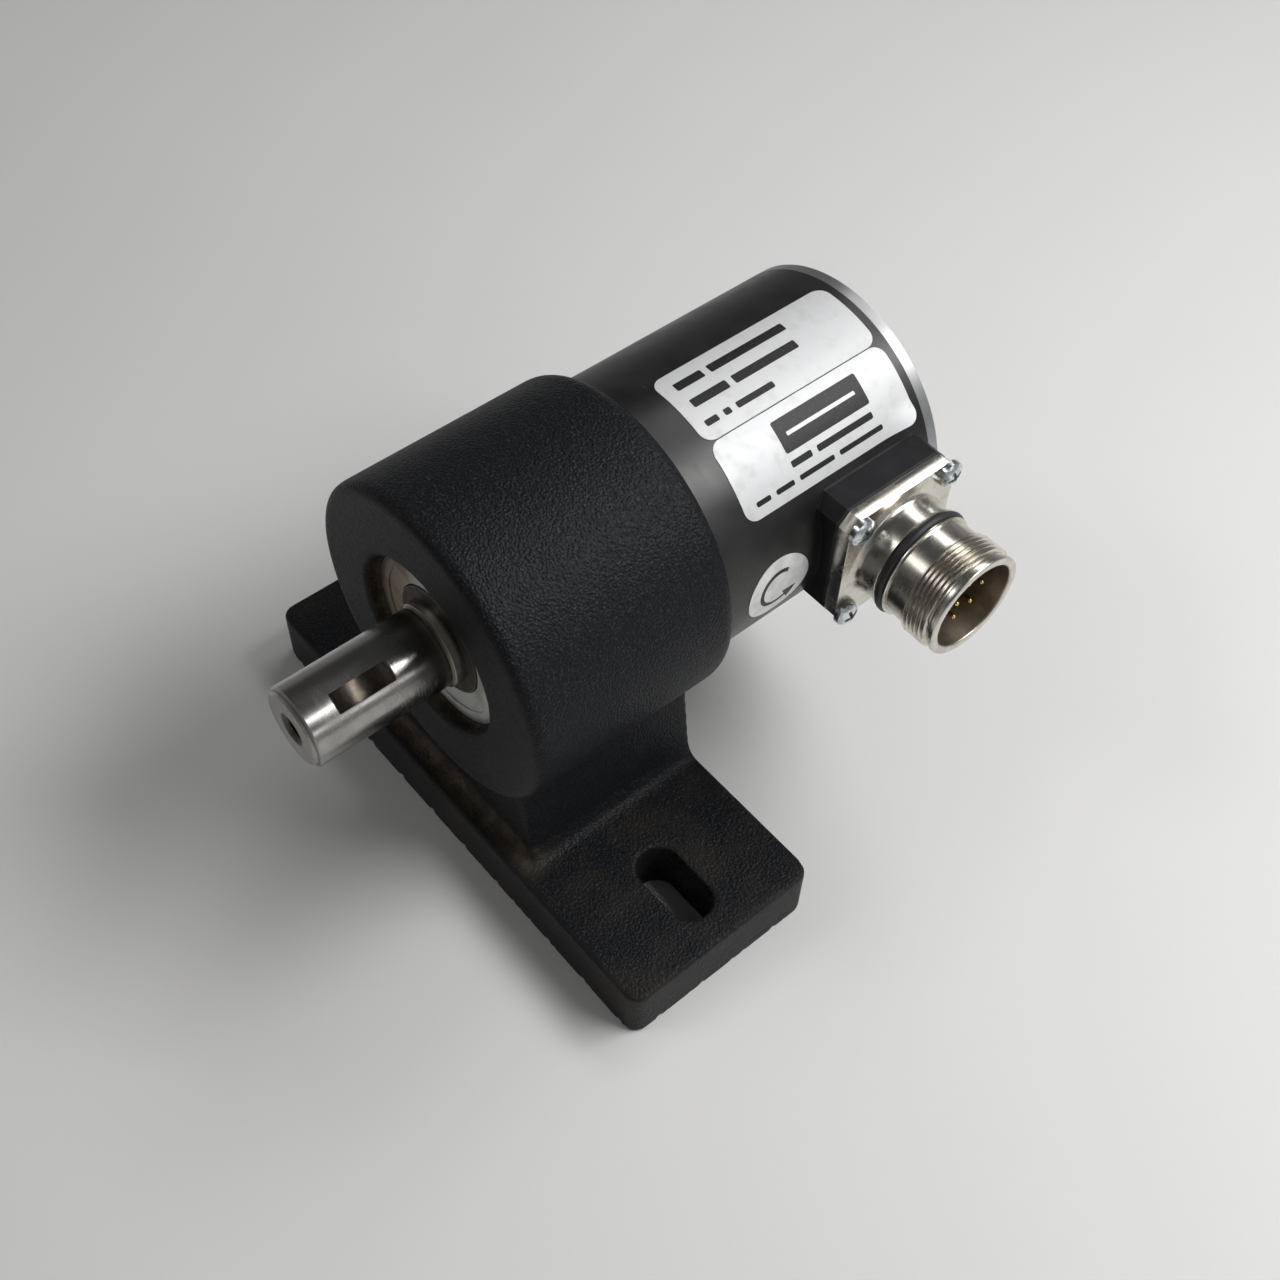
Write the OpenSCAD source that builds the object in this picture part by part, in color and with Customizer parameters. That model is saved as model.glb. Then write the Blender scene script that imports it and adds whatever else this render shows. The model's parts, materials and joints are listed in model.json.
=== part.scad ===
// Rotary encoder on a cast pedestal bearing block, in millimetres.
// +Z is up, the shaft runs along Y with its drive end at -Y, and the connector faces +X.
// The origin is on the foot's underside, at the centre of the two foot slots.
// A station is a distance along the shaft, counted from the front face of the barrel.

/* [Pedestal] */
// Length of the foot across the shaft
base_length = 120; // [116:1:130]
// Width of the foot along the shaft
base_width = 45; // [45:0.5:46]
// Thickness of the foot
base_thickness = 13.5; // [11:0.5:15]
// Height of the shaft axis above the floor
axis_height = 61; // [58:1:70]
// Outer diameter of the barrel that holds the bearings
barrel_diameter = 65; // [65:0.5:66]
// Distance between the centres of the foot slots
slot_spacing = 90; // [86:1:92]
// Width of a foot slot
slot_width = 9; // [7:0.5:10]
// End-to-end length of a foot slot
slot_length = 18; // [14:1:20]

/* [Shaft] */
// Diameter of the drive shaft
shaft_diameter = 16; // [14:0.5:16]
// Length of the shaft in front of the barrel
shaft_reach = 27.9; // [24:0.1:40]
// Width of the Woodruff keyseat
keyseat_width = 4; // [3:0.5:5]
// Diameter of the Woodruff cutter
keyseat_diameter = 13; // [10:0.5:16]
// Depth of the keyseat below the shaft's surface
keyseat_depth = 3.8; // [2.5:0.1:4]
// Direction that the keyseat faces, from +X towards +Z
keyseat_angle = 55; // [0:1:180]

/* [Encoder body] */
// Outer diameter of the encoder's body
body_diameter = 58; // [58:0.1:58.4]
// Station of the body's rear edge
body_end = 98.4; // [98:0.1:104]
// Thickness of the end cap's rim
cap_thickness = 2.2; // [1.5:0.1:4]

/* [Connector] */
// Crest diameter of the connector thread
thread_diameter = 22.8; // [22:0.1:23]
// Width across the square connector flange
flange_size = 28; // [28:0.5:29]
// Distance between the flange screws
flange_screw_spacing = 23; // [22:0.5:23]
// Station of the connector's axis
connector_station = 83.2; // [83:0.1:84]

/* [Hidden] */
$fn = 96;

// Pedestal: stations of its bores, and the web that carries the barrel
barrel_setback = 0.4;
barrel_front = -base_width / 2 + barrel_setback;
barrel_length = 46.1;
barrel_r = barrel_diameter / 2;
barrel_front_round = 2;
barrel_rear_round = 3.4;
base_corner_r = 3;
web_half_bottom = 24.2;
web_half_top = 20.4;
web_top_drop = 20;
web_front_inset = 4.4;
web_fillet_r = 2.6;
recess_r = 18.4;
recess_depth = 2.9;
shoulder_r = 15.5;
chamber_end = 39;
body_screw_r = 2;
body_screw_station = 41.5;
body_screw_angles = [165, 210];

// Pedestal bearings, 17 x 35 x 10 mm, either side of a 3 mm shoulder
bearing_r = 17.5;
bearing_bore_r = 8.5;
bearing_width = 10;
bearing_pitch_r = 13;
bearing_outer_lip_r = 15.2;
bearing_inner_lip_r = 11;
bearing_ball_r = 2.38;
bearing_ball_count = 10;
bearing_cage_wall = 1.6;
bearing_cage_width = 6.2;
bearing_gap = 3;
front_bearing_at = recess_depth;
rear_bearing_at = front_bearing_at + bearing_width + bearing_gap;
rear_bearing_end = rear_bearing_at + bearing_width;
ball_play = 0.15;
cage_play = 0.1;
shield_inset = 0.3;
shield_thickness = 0.4;
shield_gap = 0.25;

// Circlips behind the rear bearing
housing_clip_thickness = 1.5;
housing_clip_r = 18.5;
housing_clip_inner_r = 15.8;
shaft_clip_thickness = 1.1;
shaft_clip_groove_r = 8.1;
shaft_clip_r = 10.6;
clip_opening = 40;

// Jaw coupling between the drive shaft and the encoder's own shaft
coupling_r = 13;
coupling_at = 28.9;
hub_length = 5.5;
jaw_length = 4.5;
jaw_angle = 50;
jaw_inner_r = 5.6;
spider_at = coupling_at + hub_length;
encoder_hub_at = spider_at + 5;
coupling_screw_r = 1.5;
coupling_screw_socket_r = 0.85;
drive_screw_station = coupling_at + 2.7;
encoder_screw_station = encoder_hub_at + 2.8;
spider_arm_angle = 39;
spider_gap = 0.1;
spider_bore_r = 2.6;
coupling_turn = 20;
stub_r = 5;
stub_end = 34.2;
drive_land_end = 28.2;

// Encoder: front flange, its two small bearings (10 x 19 x 5 mm) and its shaft
body_r = body_diameter / 2;
body_wall = 2;
bore_r = body_r - body_wall;
tube_start = 45;
flange_rear = 51;
flange_boss_r = 12.5;
flange_boss_end = 61;
coupling_room_r = 15;
coupling_room_end = 46;
small_bearing_r = 9.5;
small_bearing_bore_r = 5;
small_bearing_width = 5;
small_pitch_r = 7.25;
small_outer_lip_r = 8.1;
small_inner_lip_r = 6.4;
small_ball_r = 1.2;
small_ball_count = 11;
shaft_passage_r = 7.5;
small_ball_play = 0.1;
small_cage_wall = 1;
small_cage_width = 3.4;
small_front_at = 47;
small_rear_at = 55.5;
encoder_shaft_start = 39.9;
disc_seat_r = 4;
disc_seat_end = 69.6;

// Code disc and the optics that read it
hub_at = 61.5;
disc_at = 66;
disc_thickness = 1;
disc_r = 21;
disc_spigot_r = 5;
hub_r = 7;
hub_rim_r = 11;
hub_rim_thickness = 1.5;
nut_r = 6.5;
nut_height = 2.2;
optics_r = 17.5;
optics_angle = 120;
lamp_r = 1.6;
lamp_back = 60.5;
lamp_end = 65.3;
lamp_holder_end = 64.5;
lamp_holder_size = [6, 8];
sensor_size = [7, 9];
mask_at = 67.4;
sensor_at = 67.9;
board_at = 71.5;
board_thickness = 1.6;
board_rear = board_at + board_thickness;
board_r = 26;
post_r = 2.25;
post_circle_r = 24;
post_angles = [60, 180, 300];
stud_r = 1.25;
stud_depth = 5;

// End cap
cap_plug = 3;
cap_pocket_r = 19;
cap_end = body_end + cap_thickness;
cap_inner = body_end - cap_plug;
seal_groove_depth = 1.7;
seal_groove_width = 2;
seal_section_r = 0.83;
body_seal_at = 47.2;
cap_seal_at = cap_inner + 0.5;
cap_screw_head_r = 2.5;

// Connector: distances along +X from the shaft's axis
gasket_thickness = 0.4;
adapter_face = 31.6;
flange_back = 32.2;
flange_face = 35.2;
flange_clip = 2.4;
neck_r = 10.8;
neck_flare = 1.6;
lip_r = 11.2;
groove_start = 40.8;
groove_end = 42.8;
lip_width = 0.5;
o_ring_section_r = 0.98;
plain_r = 10.6;
thread_start = 47.2;
thread_end = 54;
rim_r = 11.1;
rim_start = 54.4;
connector_end = 55.5;
socket_r = 9.3;
cable_hole_r = 9;
insert_back = 33;
insert_face = 44;
pin_r = 0.5;
pin_tip = 52.2;
pin_cup_r = 0.8;
pin_cup_back = 30.5;
outer_pin_circle_r = 6.5;
inner_pin_circle_r = 2.6;
// One row per contact: its turn round the connector's axis, and the radius of its circle
pin_table = concat(
  [for (i = [0:8]) [90 + 40 * i, outer_pin_circle_r]],
  [for (i = [0:2]) [90 + 120 * i, inner_pin_circle_r]]
);
wire_r = 0.5;
wire_sides = 10;
wire_bend_r = 3;
wire_foot_middle = 8;
wire_foot_offset = 3;
screw_r = 1.5;
screw_hole_r = 1.6;
screw_head_r = 2.8;
screw_head_height = 2.2;
screw_tip = 25.2;
o_ring_r = lip_r - 0.6;
// Where the cuts through the body's wall, the block and the gaskets begin and end
cut_start = 10;
cut_end = 40;

// Labels on the body
label_thickness = 0.12;
label_start = 54;
label_end = 96.5;
upper_label_angles = [65, 97];
lower_label_angles = [32.5, 64.5];
sticker_station = 59;
sticker_angle = -1.5;
sticker_r = 7.5;

// Local Z is the shaft's axis, pointing away from the drive end, and starts at the barrel's front face
module on_shaft() {
  translate([0, barrel_front, axis_height])
    rotate([-90, 0, 0])
      children();
}

// Turns its children about the shaft, from +X towards +Z
module at_angle(angle) {
  rotate([0, 0, -angle])
    children();
}

// Local Z is the connector's axis, pointing along +X from the shaft's axis
module on_connector() {
  translate([0, barrel_front + connector_station, axis_height])
    rotate([0, 90, 0])
      children();
}

module disc(r, from, to) {
  translate([0, 0, from])
    cylinder(r = r, h = to - from);
}

module ring(r_out, r_in, from, to) {
  difference() {
    disc(r_out, from, to);
    disc(r_in, from - 1, to + 1);
  }
}

// A piece of a ring between two radii, centred on local +X
module ring_piece(r_out, r_in, from, to, angle) {
  translate([0, 0, from])
    rotate([0, 0, -angle / 2])
      rotate_extrude(angle = angle)
        translate([r_in, 0])
          square([r_out - r_in, to - from]);
}

// A cylinder along local +X between two distances from the axis
module radial_cylinder(r, from_r, to_r) {
  rotate([0, 90, 0])
    translate([0, 0, from_r])
      cylinder(r = r, h = to_r - from_r);
}

module torus(r, section_r, at) {
  translate([0, 0, at])
    rotate_extrude()
      translate([r, 0])
        circle(r = section_r);
}

// ---- pedestal ----

module barrel_solid() {
  rotate_extrude() {
    square([barrel_r - barrel_rear_round, barrel_length]);
    translate([0, barrel_front_round])
      square([barrel_r, barrel_length - barrel_front_round - barrel_rear_round]);
    square([barrel_r - barrel_front_round, barrel_front_round + 1]);
    translate([barrel_r - barrel_front_round, barrel_front_round])
      circle(r = barrel_front_round);
    translate([barrel_r - barrel_rear_round, barrel_length - barrel_rear_round])
      circle(r = barrel_rear_round);
  }
}

module base_plate() {
  inner_x = base_length / 2 - base_corner_r;
  inner_y = base_width / 2 - base_corner_r;
  linear_extrude(height = base_thickness) {
    square([base_length, 2 * inner_y], center = true);
    square([2 * inner_x, base_width], center = true);
    for (x = [-inner_x, inner_x])
      for (y = [-inner_y, inner_y])
        translate([x, y])
          circle(r = base_corner_r);
  }
}

module foot_slot() {
  straight = slot_length - slot_width;
  translate([0, 0, -1])
    linear_extrude(height = base_thickness + 2) {
      square([straight, slot_width], center = true);
      for (x = [-straight / 2, straight / 2])
        translate([x, 0])
          circle(d = slot_width);
    }
}

module web() {
  web_top = axis_height - web_top_drop;
  web_front = -base_width / 2 + web_front_inset;
  translate([0, base_width / 2, 0])
    rotate([90, 0, 0])
      linear_extrude(height = base_width / 2 - web_front)
        polygon([
          [-web_half_bottom, base_thickness - 1],
          [web_half_bottom, base_thickness - 1],
          [web_half_top, web_top],
          [-web_half_top, web_top]
        ]);
}

// Cast fillet along one side of the web, where it meets the foot
module web_side_fillet() {
  web_front = -base_width / 2 + web_front_inset;
  translate([web_half_bottom - 0.6, base_width / 2, base_thickness])
    rotate([90, 0, 0])
      linear_extrude(height = base_width / 2 - web_front)
        difference() {
          translate([0, -0.5])
            square([web_fillet_r + 0.5, web_fillet_r + 0.5]);
          translate([web_fillet_r + 0.5, web_fillet_r])
            circle(r = web_fillet_r);
        }
}

module pedestal_housing() {
  color([0.07, 0.07, 0.08])
    difference() {
      union() {
        base_plate();
        web();
        web_side_fillet();
        mirror([1, 0, 0])
          web_side_fillet();
        on_shaft()
          barrel_solid();
      }
      for (x = [-slot_spacing / 2, slot_spacing / 2])
        translate([x, 0, 0])
          foot_slot();
      on_shaft() {
        disc(recess_r, -1, recess_depth);
        disc(bearing_r, recess_depth, front_bearing_at + bearing_width);
        disc(shoulder_r, recess_depth, rear_bearing_at + 1);
        disc(bearing_r, rear_bearing_at, chamber_end + 1);
        disc(housing_clip_r, rear_bearing_end, rear_bearing_end + housing_clip_thickness);
        disc(body_r, chamber_end, barrel_length + 1);
        for (angle = body_screw_angles)
          at_angle(angle)
            translate([0, 0, body_screw_station])
              radial_cylinder(body_screw_r, body_r - 1, barrel_r + 1);
      }
    }
}

module body_set_screws() {
  screw_sink = 0.3;
  socket_depth = 2;
  socket_across_r = 1.15;
  color([0.2, 0.2, 0.22])
    on_shaft()
      for (angle = body_screw_angles)
        at_angle(angle)
          translate([0, 0, body_screw_station])
            difference() {
              radial_cylinder(body_screw_r, body_r, barrel_r - screw_sink);
              rotate([0, 90, 0])
                translate([0, 0, barrel_r - socket_depth])
                  cylinder(r = socket_across_r, h = socket_depth, $fn = 6);
            }
}

// ---- drive shaft ----

module drive_shaft() {
  shaft_r = shaft_diameter / 2;
  end_chamfer = 1;
  thread_core_r = 2.5;
  thread_depth = 16;
  countersink_r = 3.3;
  front_end = -shaft_reach;
  shoulder_at = front_bearing_at + bearing_width;
  shoulder_end = rear_bearing_at;
  collar_at = 0.7;
  cutter_r = keyseat_diameter / 2;
  keyseat_station = -15.45;
  color([0.72, 0.71, 0.69])
    on_shaft()
      difference() {
        rotate_extrude()
          polygon([
            [0, front_end],
            [shaft_r - end_chamfer, front_end],
            [shaft_r, front_end + end_chamfer],
            [shaft_r, collar_at - 0.5],
            [bearing_bore_r, collar_at],
            [bearing_bore_r, shoulder_at],
            [bearing_inner_lip_r - 0.5, shoulder_at],
            [bearing_inner_lip_r - 0.5, shoulder_end],
            [bearing_bore_r, shoulder_end],
            [bearing_bore_r, rear_bearing_end],
            [shaft_clip_groove_r, rear_bearing_end],
            [shaft_clip_groove_r, rear_bearing_end + shaft_clip_thickness],
            [bearing_bore_r, rear_bearing_end + shaft_clip_thickness],
            [bearing_bore_r, drive_land_end],
            [stub_r, drive_land_end],
            [stub_r, stub_end],
            [0, stub_end]
          ]);
        disc(thread_core_r, front_end - 1, front_end + thread_depth);
        translate([0, 0, front_end])
          cylinder(r1 = countersink_r, r2 = thread_core_r, h = countersink_r - thread_core_r);
        at_angle(keyseat_angle)
          translate([shaft_r - keyseat_depth + cutter_r, 0, keyseat_station])
            rotate([90, 0, 0])
              cylinder(r = cutter_r, h = keyseat_width, center = true);
      }
}

// ---- ball bearings: each starts at local Z = 0 ----

module bearing_outer_ring(r, lip_r, width, pitch_r, groove_r) {
  rotate_extrude()
    difference() {
      translate([lip_r, 0])
        square([r - lip_r, width]);
      translate([pitch_r, width / 2])
        circle(r = groove_r);
    }
}

module bearing_inner_ring(bore, lip_r, width, pitch_r, groove_r) {
  rotate_extrude()
    difference() {
      translate([bore, 0])
        square([lip_r - bore, width]);
      translate([pitch_r, width / 2])
        circle(r = groove_r);
    }
}

module ball_ring(count, pitch_r, r, at) {
  for (i = [0:count - 1])
    rotate([0, 0, i * 360 / count])
      translate([pitch_r, 0, at])
        sphere(r = r);
}

module ball_cage(count, pitch_r, r, wall, cage_width, at) {
  difference() {
    ring(pitch_r + wall / 2, pitch_r - wall / 2, at - cage_width / 2, at + cage_width / 2);
    for (i = [0:count - 1])
      rotate([0, 0, i * 360 / count])
        translate([0, 0, at])
          radial_cylinder(r, pitch_r - wall, pitch_r + wall);
  }
}

module at_station(station) {
  on_shaft()
    translate([0, 0, station])
      children();
}

module pedestal_outer_ring(station) {
  color([0.74, 0.73, 0.70])
    at_station(station)
      bearing_outer_ring(bearing_r, bearing_outer_lip_r, bearing_width, bearing_pitch_r,
        bearing_ball_r + ball_play);
}

module pedestal_inner_ring(station) {
  color([0.55, 0.50, 0.44])
    at_station(station)
      bearing_inner_ring(bearing_bore_r, bearing_inner_lip_r, bearing_width, bearing_pitch_r,
        bearing_ball_r + ball_play);
}

module pedestal_balls(station) {
  color([0.85, 0.85, 0.87])
    at_station(station)
      ball_ring(bearing_ball_count, bearing_pitch_r, bearing_ball_r, bearing_width / 2);
}

module pedestal_cage(station) {
  color([0.62, 0.58, 0.50])
    at_station(station)
      ball_cage(bearing_ball_count, bearing_pitch_r, bearing_ball_r + cage_play, bearing_cage_wall,
        bearing_cage_width, bearing_width / 2);
}

module pedestal_shields(station) {
  near = shield_inset;
  far = bearing_width - shield_inset - shield_thickness;
  color([0.78, 0.77, 0.74])
    at_station(station)
      for (start = [near, far])
        ring(bearing_outer_lip_r, bearing_inner_lip_r + shield_gap, start, start + shield_thickness);
}

module front_bearing_outer_ring() { pedestal_outer_ring(front_bearing_at); }
module front_bearing_inner_ring() { pedestal_inner_ring(front_bearing_at); }
module front_bearing_balls() { pedestal_balls(front_bearing_at); }
module front_bearing_cage() { pedestal_cage(front_bearing_at); }
module front_bearing_shields() { pedestal_shields(front_bearing_at); }
module rear_bearing_outer_ring() { pedestal_outer_ring(rear_bearing_at); }
module rear_bearing_inner_ring() { pedestal_inner_ring(rear_bearing_at); }
module rear_bearing_balls() { pedestal_balls(rear_bearing_at); }
module rear_bearing_cage() { pedestal_cage(rear_bearing_at); }
module rear_bearing_shields() { pedestal_shields(rear_bearing_at); }

module small_outer_ring(station) {
  color([0.74, 0.74, 0.74])
    at_station(station)
      bearing_outer_ring(small_bearing_r, small_outer_lip_r, small_bearing_width, small_pitch_r,
        small_ball_r + small_ball_play);
}

module small_inner_ring(station) {
  color([0.70, 0.70, 0.70])
    at_station(station)
      bearing_inner_ring(small_bearing_bore_r, small_inner_lip_r, small_bearing_width,
        small_pitch_r, small_ball_r + small_ball_play);
}

module small_balls(station) {
  color([0.85, 0.85, 0.87])
    at_station(station)
      ball_ring(small_ball_count, small_pitch_r, small_ball_r, small_bearing_width / 2);
}

module small_cage(station) {
  color([0.62, 0.58, 0.50])
    at_station(station)
      ball_cage(small_ball_count, small_pitch_r, small_ball_r + cage_play, small_cage_wall,
        small_cage_width, small_bearing_width / 2);
}

module encoder_front_bearing_outer_ring() { small_outer_ring(small_front_at); }
module encoder_front_bearing_inner_ring() { small_inner_ring(small_front_at); }
module encoder_front_bearing_balls() { small_balls(small_front_at); }
module encoder_front_bearing_cage() { small_cage(small_front_at); }
module encoder_rear_bearing_outer_ring() { small_outer_ring(small_rear_at); }
module encoder_rear_bearing_inner_ring() { small_inner_ring(small_rear_at); }
module encoder_rear_bearing_balls() { small_balls(small_rear_at); }
module encoder_rear_bearing_cage() { small_cage(small_rear_at); }

// ---- circlips ----

module housing_circlip() {
  lug_reach = 1.6;
  lug_back = 7;
  lug_width_angle = 11;
  plier_hole_r = 0.8;
  color([0.16, 0.16, 0.18])
    on_shaft()
      rotate([0, 0, 90])
        difference() {
          union() {
            ring_piece(housing_clip_r, housing_clip_inner_r, rear_bearing_end,
              rear_bearing_end + housing_clip_thickness, 360 - clip_opening);
            for (side = [-1, 1])
              rotate([0, 0, side * (180 - clip_opening / 2 - lug_back)])
                ring_piece(housing_clip_inner_r + 1, housing_clip_inner_r - lug_reach,
                  rear_bearing_end, rear_bearing_end + housing_clip_thickness, lug_width_angle);
          }
          for (side = [-1, 1])
            rotate([0, 0, side * (180 - clip_opening / 2 - lug_back)])
              translate([housing_clip_inner_r, 0, 0])
                disc(plier_hole_r, rear_bearing_end - 1,
                  rear_bearing_end + housing_clip_thickness + 1);
        }
}

module shaft_circlip() {
  hole_back = 9;
  plier_hole_r = 0.6;
  color([0.16, 0.16, 0.18])
    on_shaft()
      rotate([0, 0, -90])
        difference() {
          ring_piece(shaft_clip_r, shaft_clip_groove_r, rear_bearing_end,
            rear_bearing_end + shaft_clip_thickness, 360 - clip_opening);
          for (side = [-1, 1])
            rotate([0, 0, side * (180 - clip_opening / 2 - hole_back)])
              translate([(shaft_clip_r + shaft_clip_groove_r) / 2, 0, 0])
                disc(plier_hole_r, rear_bearing_end - 1,
                  rear_bearing_end + shaft_clip_thickness + 1);
        }
}

// ---- jaw coupling ----

module coupling_hub(hub_at, jaw_at, screw_at, turn) {
  difference() {
    union() {
      disc(coupling_r, hub_at, hub_at + hub_length);
      for (side = [0, 180])
        rotate([0, 0, turn + side])
          ring_piece(coupling_r, jaw_inner_r, jaw_at, jaw_at + jaw_length, jaw_angle);
    }
    disc(stub_r, hub_at - 1, hub_at + hub_length + 1);
    rotate([0, 0, turn])
      translate([0, 0, screw_at])
        radial_cylinder(coupling_screw_r, stub_r - 1, coupling_r + 1);
  }
}

module coupling_drive_hub() {
  color([0.70, 0.70, 0.72])
    on_shaft()
      coupling_hub(coupling_at, spider_at, drive_screw_station, coupling_turn);
}

module coupling_encoder_hub() {
  color([0.70, 0.70, 0.72])
    on_shaft()
      coupling_hub(encoder_hub_at, encoder_hub_at - jaw_length, encoder_screw_station,
        coupling_turn + 90);
}

module coupling_spider() {
  arm_root = 0.4;
  arm_inset = 0.3;
  spider_start = spider_at + spider_gap;
  spider_end = encoder_hub_at - spider_gap;
  color([0.75, 0.15, 0.10])
    on_shaft() {
      ring(jaw_inner_r - spider_gap, spider_bore_r, spider_start, spider_end);
      for (turn = [45:90:315])
        rotate([0, 0, turn + coupling_turn])
          ring_piece(coupling_r - arm_inset, jaw_inner_r - arm_root, spider_start, spider_end,
            spider_arm_angle);
    }
}

module coupling_set_screws() {
  screw_sink = 0.4;
  socket_depth = 2;
  color([0.2, 0.2, 0.22])
    on_shaft()
      for (spot = [[0, drive_screw_station], [90, encoder_screw_station]])
        rotate([0, 0, spot[0] + coupling_turn])
          translate([0, 0, spot[1]])
            difference() {
              radial_cylinder(coupling_screw_r, stub_r, coupling_r - screw_sink);
              rotate([0, 90, 0])
                translate([0, 0, coupling_r - socket_depth])
                  cylinder(r = coupling_screw_socket_r, h = socket_depth, $fn = 6);
            }
}

// ---- encoder: bearings' housing and shaft ----

module encoder_flange() {
  color([0.66, 0.67, 0.69])
    on_shaft()
      difference() {
        union() {
          disc(body_r, chamber_end, tube_start);
          disc(bore_r, tube_start, flange_rear);
          disc(flange_boss_r, flange_rear, flange_boss_end);
        }
        disc(coupling_room_r, chamber_end - 1, coupling_room_end);
        disc(shaft_passage_r, coupling_room_end - 1, small_front_at + 1);
        disc(small_bearing_r, small_front_at, flange_boss_end + 1);
        ring(bore_r + 1, bore_r - seal_groove_depth, body_seal_at, body_seal_at + seal_groove_width);
      }
}

module encoder_shaft() {
  shoulder_r = 6;
  first_step = small_front_at + small_bearing_width;
  color([0.76, 0.76, 0.77])
    on_shaft()
      rotate_extrude()
        polygon([
          [0, encoder_shaft_start],
          [stub_r, encoder_shaft_start],
          [stub_r, first_step],
          [shoulder_r, first_step],
          [shoulder_r, small_rear_at],
          [stub_r, small_rear_at],
          [stub_r, small_rear_at + small_bearing_width],
          [disc_seat_r, small_rear_at + small_bearing_width],
          [disc_seat_r, disc_seat_end],
          [0, disc_seat_end]
        ]);
}

module encoder_bearing_spacer() {
  color([0.6, 0.6, 0.62])
    on_shaft()
      ring(small_bearing_r, small_outer_lip_r, small_front_at + small_bearing_width, small_rear_at);
}

// ---- code disc ----

module disc_hub() {
  color([0.78, 0.70, 0.45])
    on_shaft()
      difference() {
        union() {
          disc(hub_r, hub_at, disc_at);
          disc(hub_rim_r, disc_at - hub_rim_thickness, disc_at);
          disc(disc_spigot_r, disc_at, disc_at + disc_thickness);
        }
        disc(disc_seat_r, hub_at - 1, disc_at + disc_thickness + 1);
      }
}

module code_disc() {
  color([0.70, 0.80, 0.82])
    on_shaft()
      ring(disc_r, disc_spigot_r, disc_at, disc_at + disc_thickness);
}

module disc_clamp_nut() {
  nut_start = disc_at + disc_thickness;
  color([0.78, 0.70, 0.45])
    on_shaft()
      difference() {
        translate([0, 0, nut_start])
          cylinder(r = nut_r, h = nut_height, $fn = 6);
        disc(disc_seat_r, nut_start - 1, nut_start + nut_height + 1);
      }
}

// ---- optics and electronics ----

module optics_block(from, to, size) {
  at_angle(optics_angle)
    translate([optics_r - size[0] / 2, -size[1] / 2, from])
      cube([size[0], size[1], to - from]);
}

module lamp_holder() {
  color([0.10, 0.10, 0.11])
    on_shaft()
      difference() {
        optics_block(flange_rear, lamp_holder_end, lamp_holder_size);
        at_angle(optics_angle)
          translate([optics_r, 0, 0])
            disc(lamp_r, lamp_back, lamp_holder_end + 1);
      }
}

module lamp_led() {
  color([0.85, 0.88, 0.90])
    on_shaft()
      at_angle(optics_angle)
        translate([optics_r, 0, 0])
          disc(lamp_r, lamp_back, lamp_end);
}

module scanning_mask() {
  color([0.75, 0.82, 0.84])
    on_shaft()
      optics_block(mask_at, sensor_at, sensor_size);
}

module photo_sensor() {
  color([0.14, 0.14, 0.15])
    on_shaft()
      optics_block(sensor_at, board_at, sensor_size);
}

module circuit_board() {
  color([0.05, 0.28, 0.14])
    on_shaft()
      difference() {
        disc(board_r, board_at, board_rear);
        for (angle = post_angles)
          at_angle(angle)
            translate([post_circle_r, 0, 0])
              disc(stud_r, board_at - 1, board_rear + 1);
      }
}

// Each chip is [its low corner on the board, its size]
module board_components() {
  chips = [
    [[-17, -5], [10, 10, 1.6]],
    [[-14, 9], [6, 5, 1.4]]
  ];
  passive_size = [1.8, 3, 1];
  passive_pitch = 3;
  passives_at = [-18, -14];
  capacitor_at = [-3, 17];
  capacitor_r = 2.6;
  capacitor_height = 5.5;
  color([0.12, 0.12, 0.13])
    on_shaft()
      translate([0, 0, board_rear]) {
        for (chip = chips)
          translate(chip[0])
            cube(chip[1]);
        for (i = [0:3])
          translate([passives_at[0] + passive_pitch * i, passives_at[1], 0])
            cube(passive_size);
        translate(capacitor_at)
          cylinder(r = capacitor_r, h = capacitor_height);
      }
}

module board_posts() {
  color([0.78, 0.70, 0.45])
    on_shaft()
      for (angle = post_angles)
        at_angle(angle)
          translate([post_circle_r, 0, 0])
            difference() {
              disc(post_r, flange_rear, board_at);
              disc(stud_r, board_at - stud_depth, board_at + 1);
            }
}

module cap_posts() {
  screw_room = 6;
  color([0.78, 0.70, 0.45])
    on_shaft()
      for (angle = post_angles)
        at_angle(angle)
          translate([post_circle_r, 0, 0])
            difference() {
              union() {
                disc(post_r, board_rear, cap_inner);
                disc(stud_r, board_at - stud_depth, board_rear + 1);
              }
              disc(stud_r, cap_inner - screw_room, cap_inner + 1);
            }
}

// One wire: straight out of the board, round a bend, and out to its contact.
// across is the contact's place along the shaft and side its height, both from the connector's axis.
module lead_wire(foot, across, side) {
  run = connector_station + across - wire_bend_r - board_rear;
  reach = pin_cup_back - foot - wire_bend_r;
  translate([foot, side, board_rear]) {
    cylinder(r = wire_r, h = run, $fn = wire_sides);
    translate([wire_bend_r, 0, run])
      rotate([-90, 0, 0])
        rotate([0, 0, 180])
          rotate_extrude(angle = 90, $fn = 40)
            translate([wire_bend_r, 0])
              circle(r = wire_r, $fn = wire_sides);
    translate([wire_bend_r, 0, run + wire_bend_r])
      rotate([0, 90, 0])
        cylinder(r = wire_r, h = reach, $fn = wire_sides);
  }
}

module lead_wires() {
  color([0.80, 0.78, 0.72])
    on_shaft()
      for (pin = pin_table) {
        across = pin[1] * cos(pin[0]);
        side = pin[1] * sin(pin[0]);
        foot = wire_foot_middle - wire_foot_offset * sign(round(across * 10));
        lead_wire(foot, across, side);
      }
}

// ---- encoder: body ----

module on_flange_corners() {
  for (a = [-1, 1])
    for (b = [-1, 1])
      translate([a * flange_screw_spacing / 2, b * flange_screw_spacing / 2, 0])
        children();
}

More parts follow.
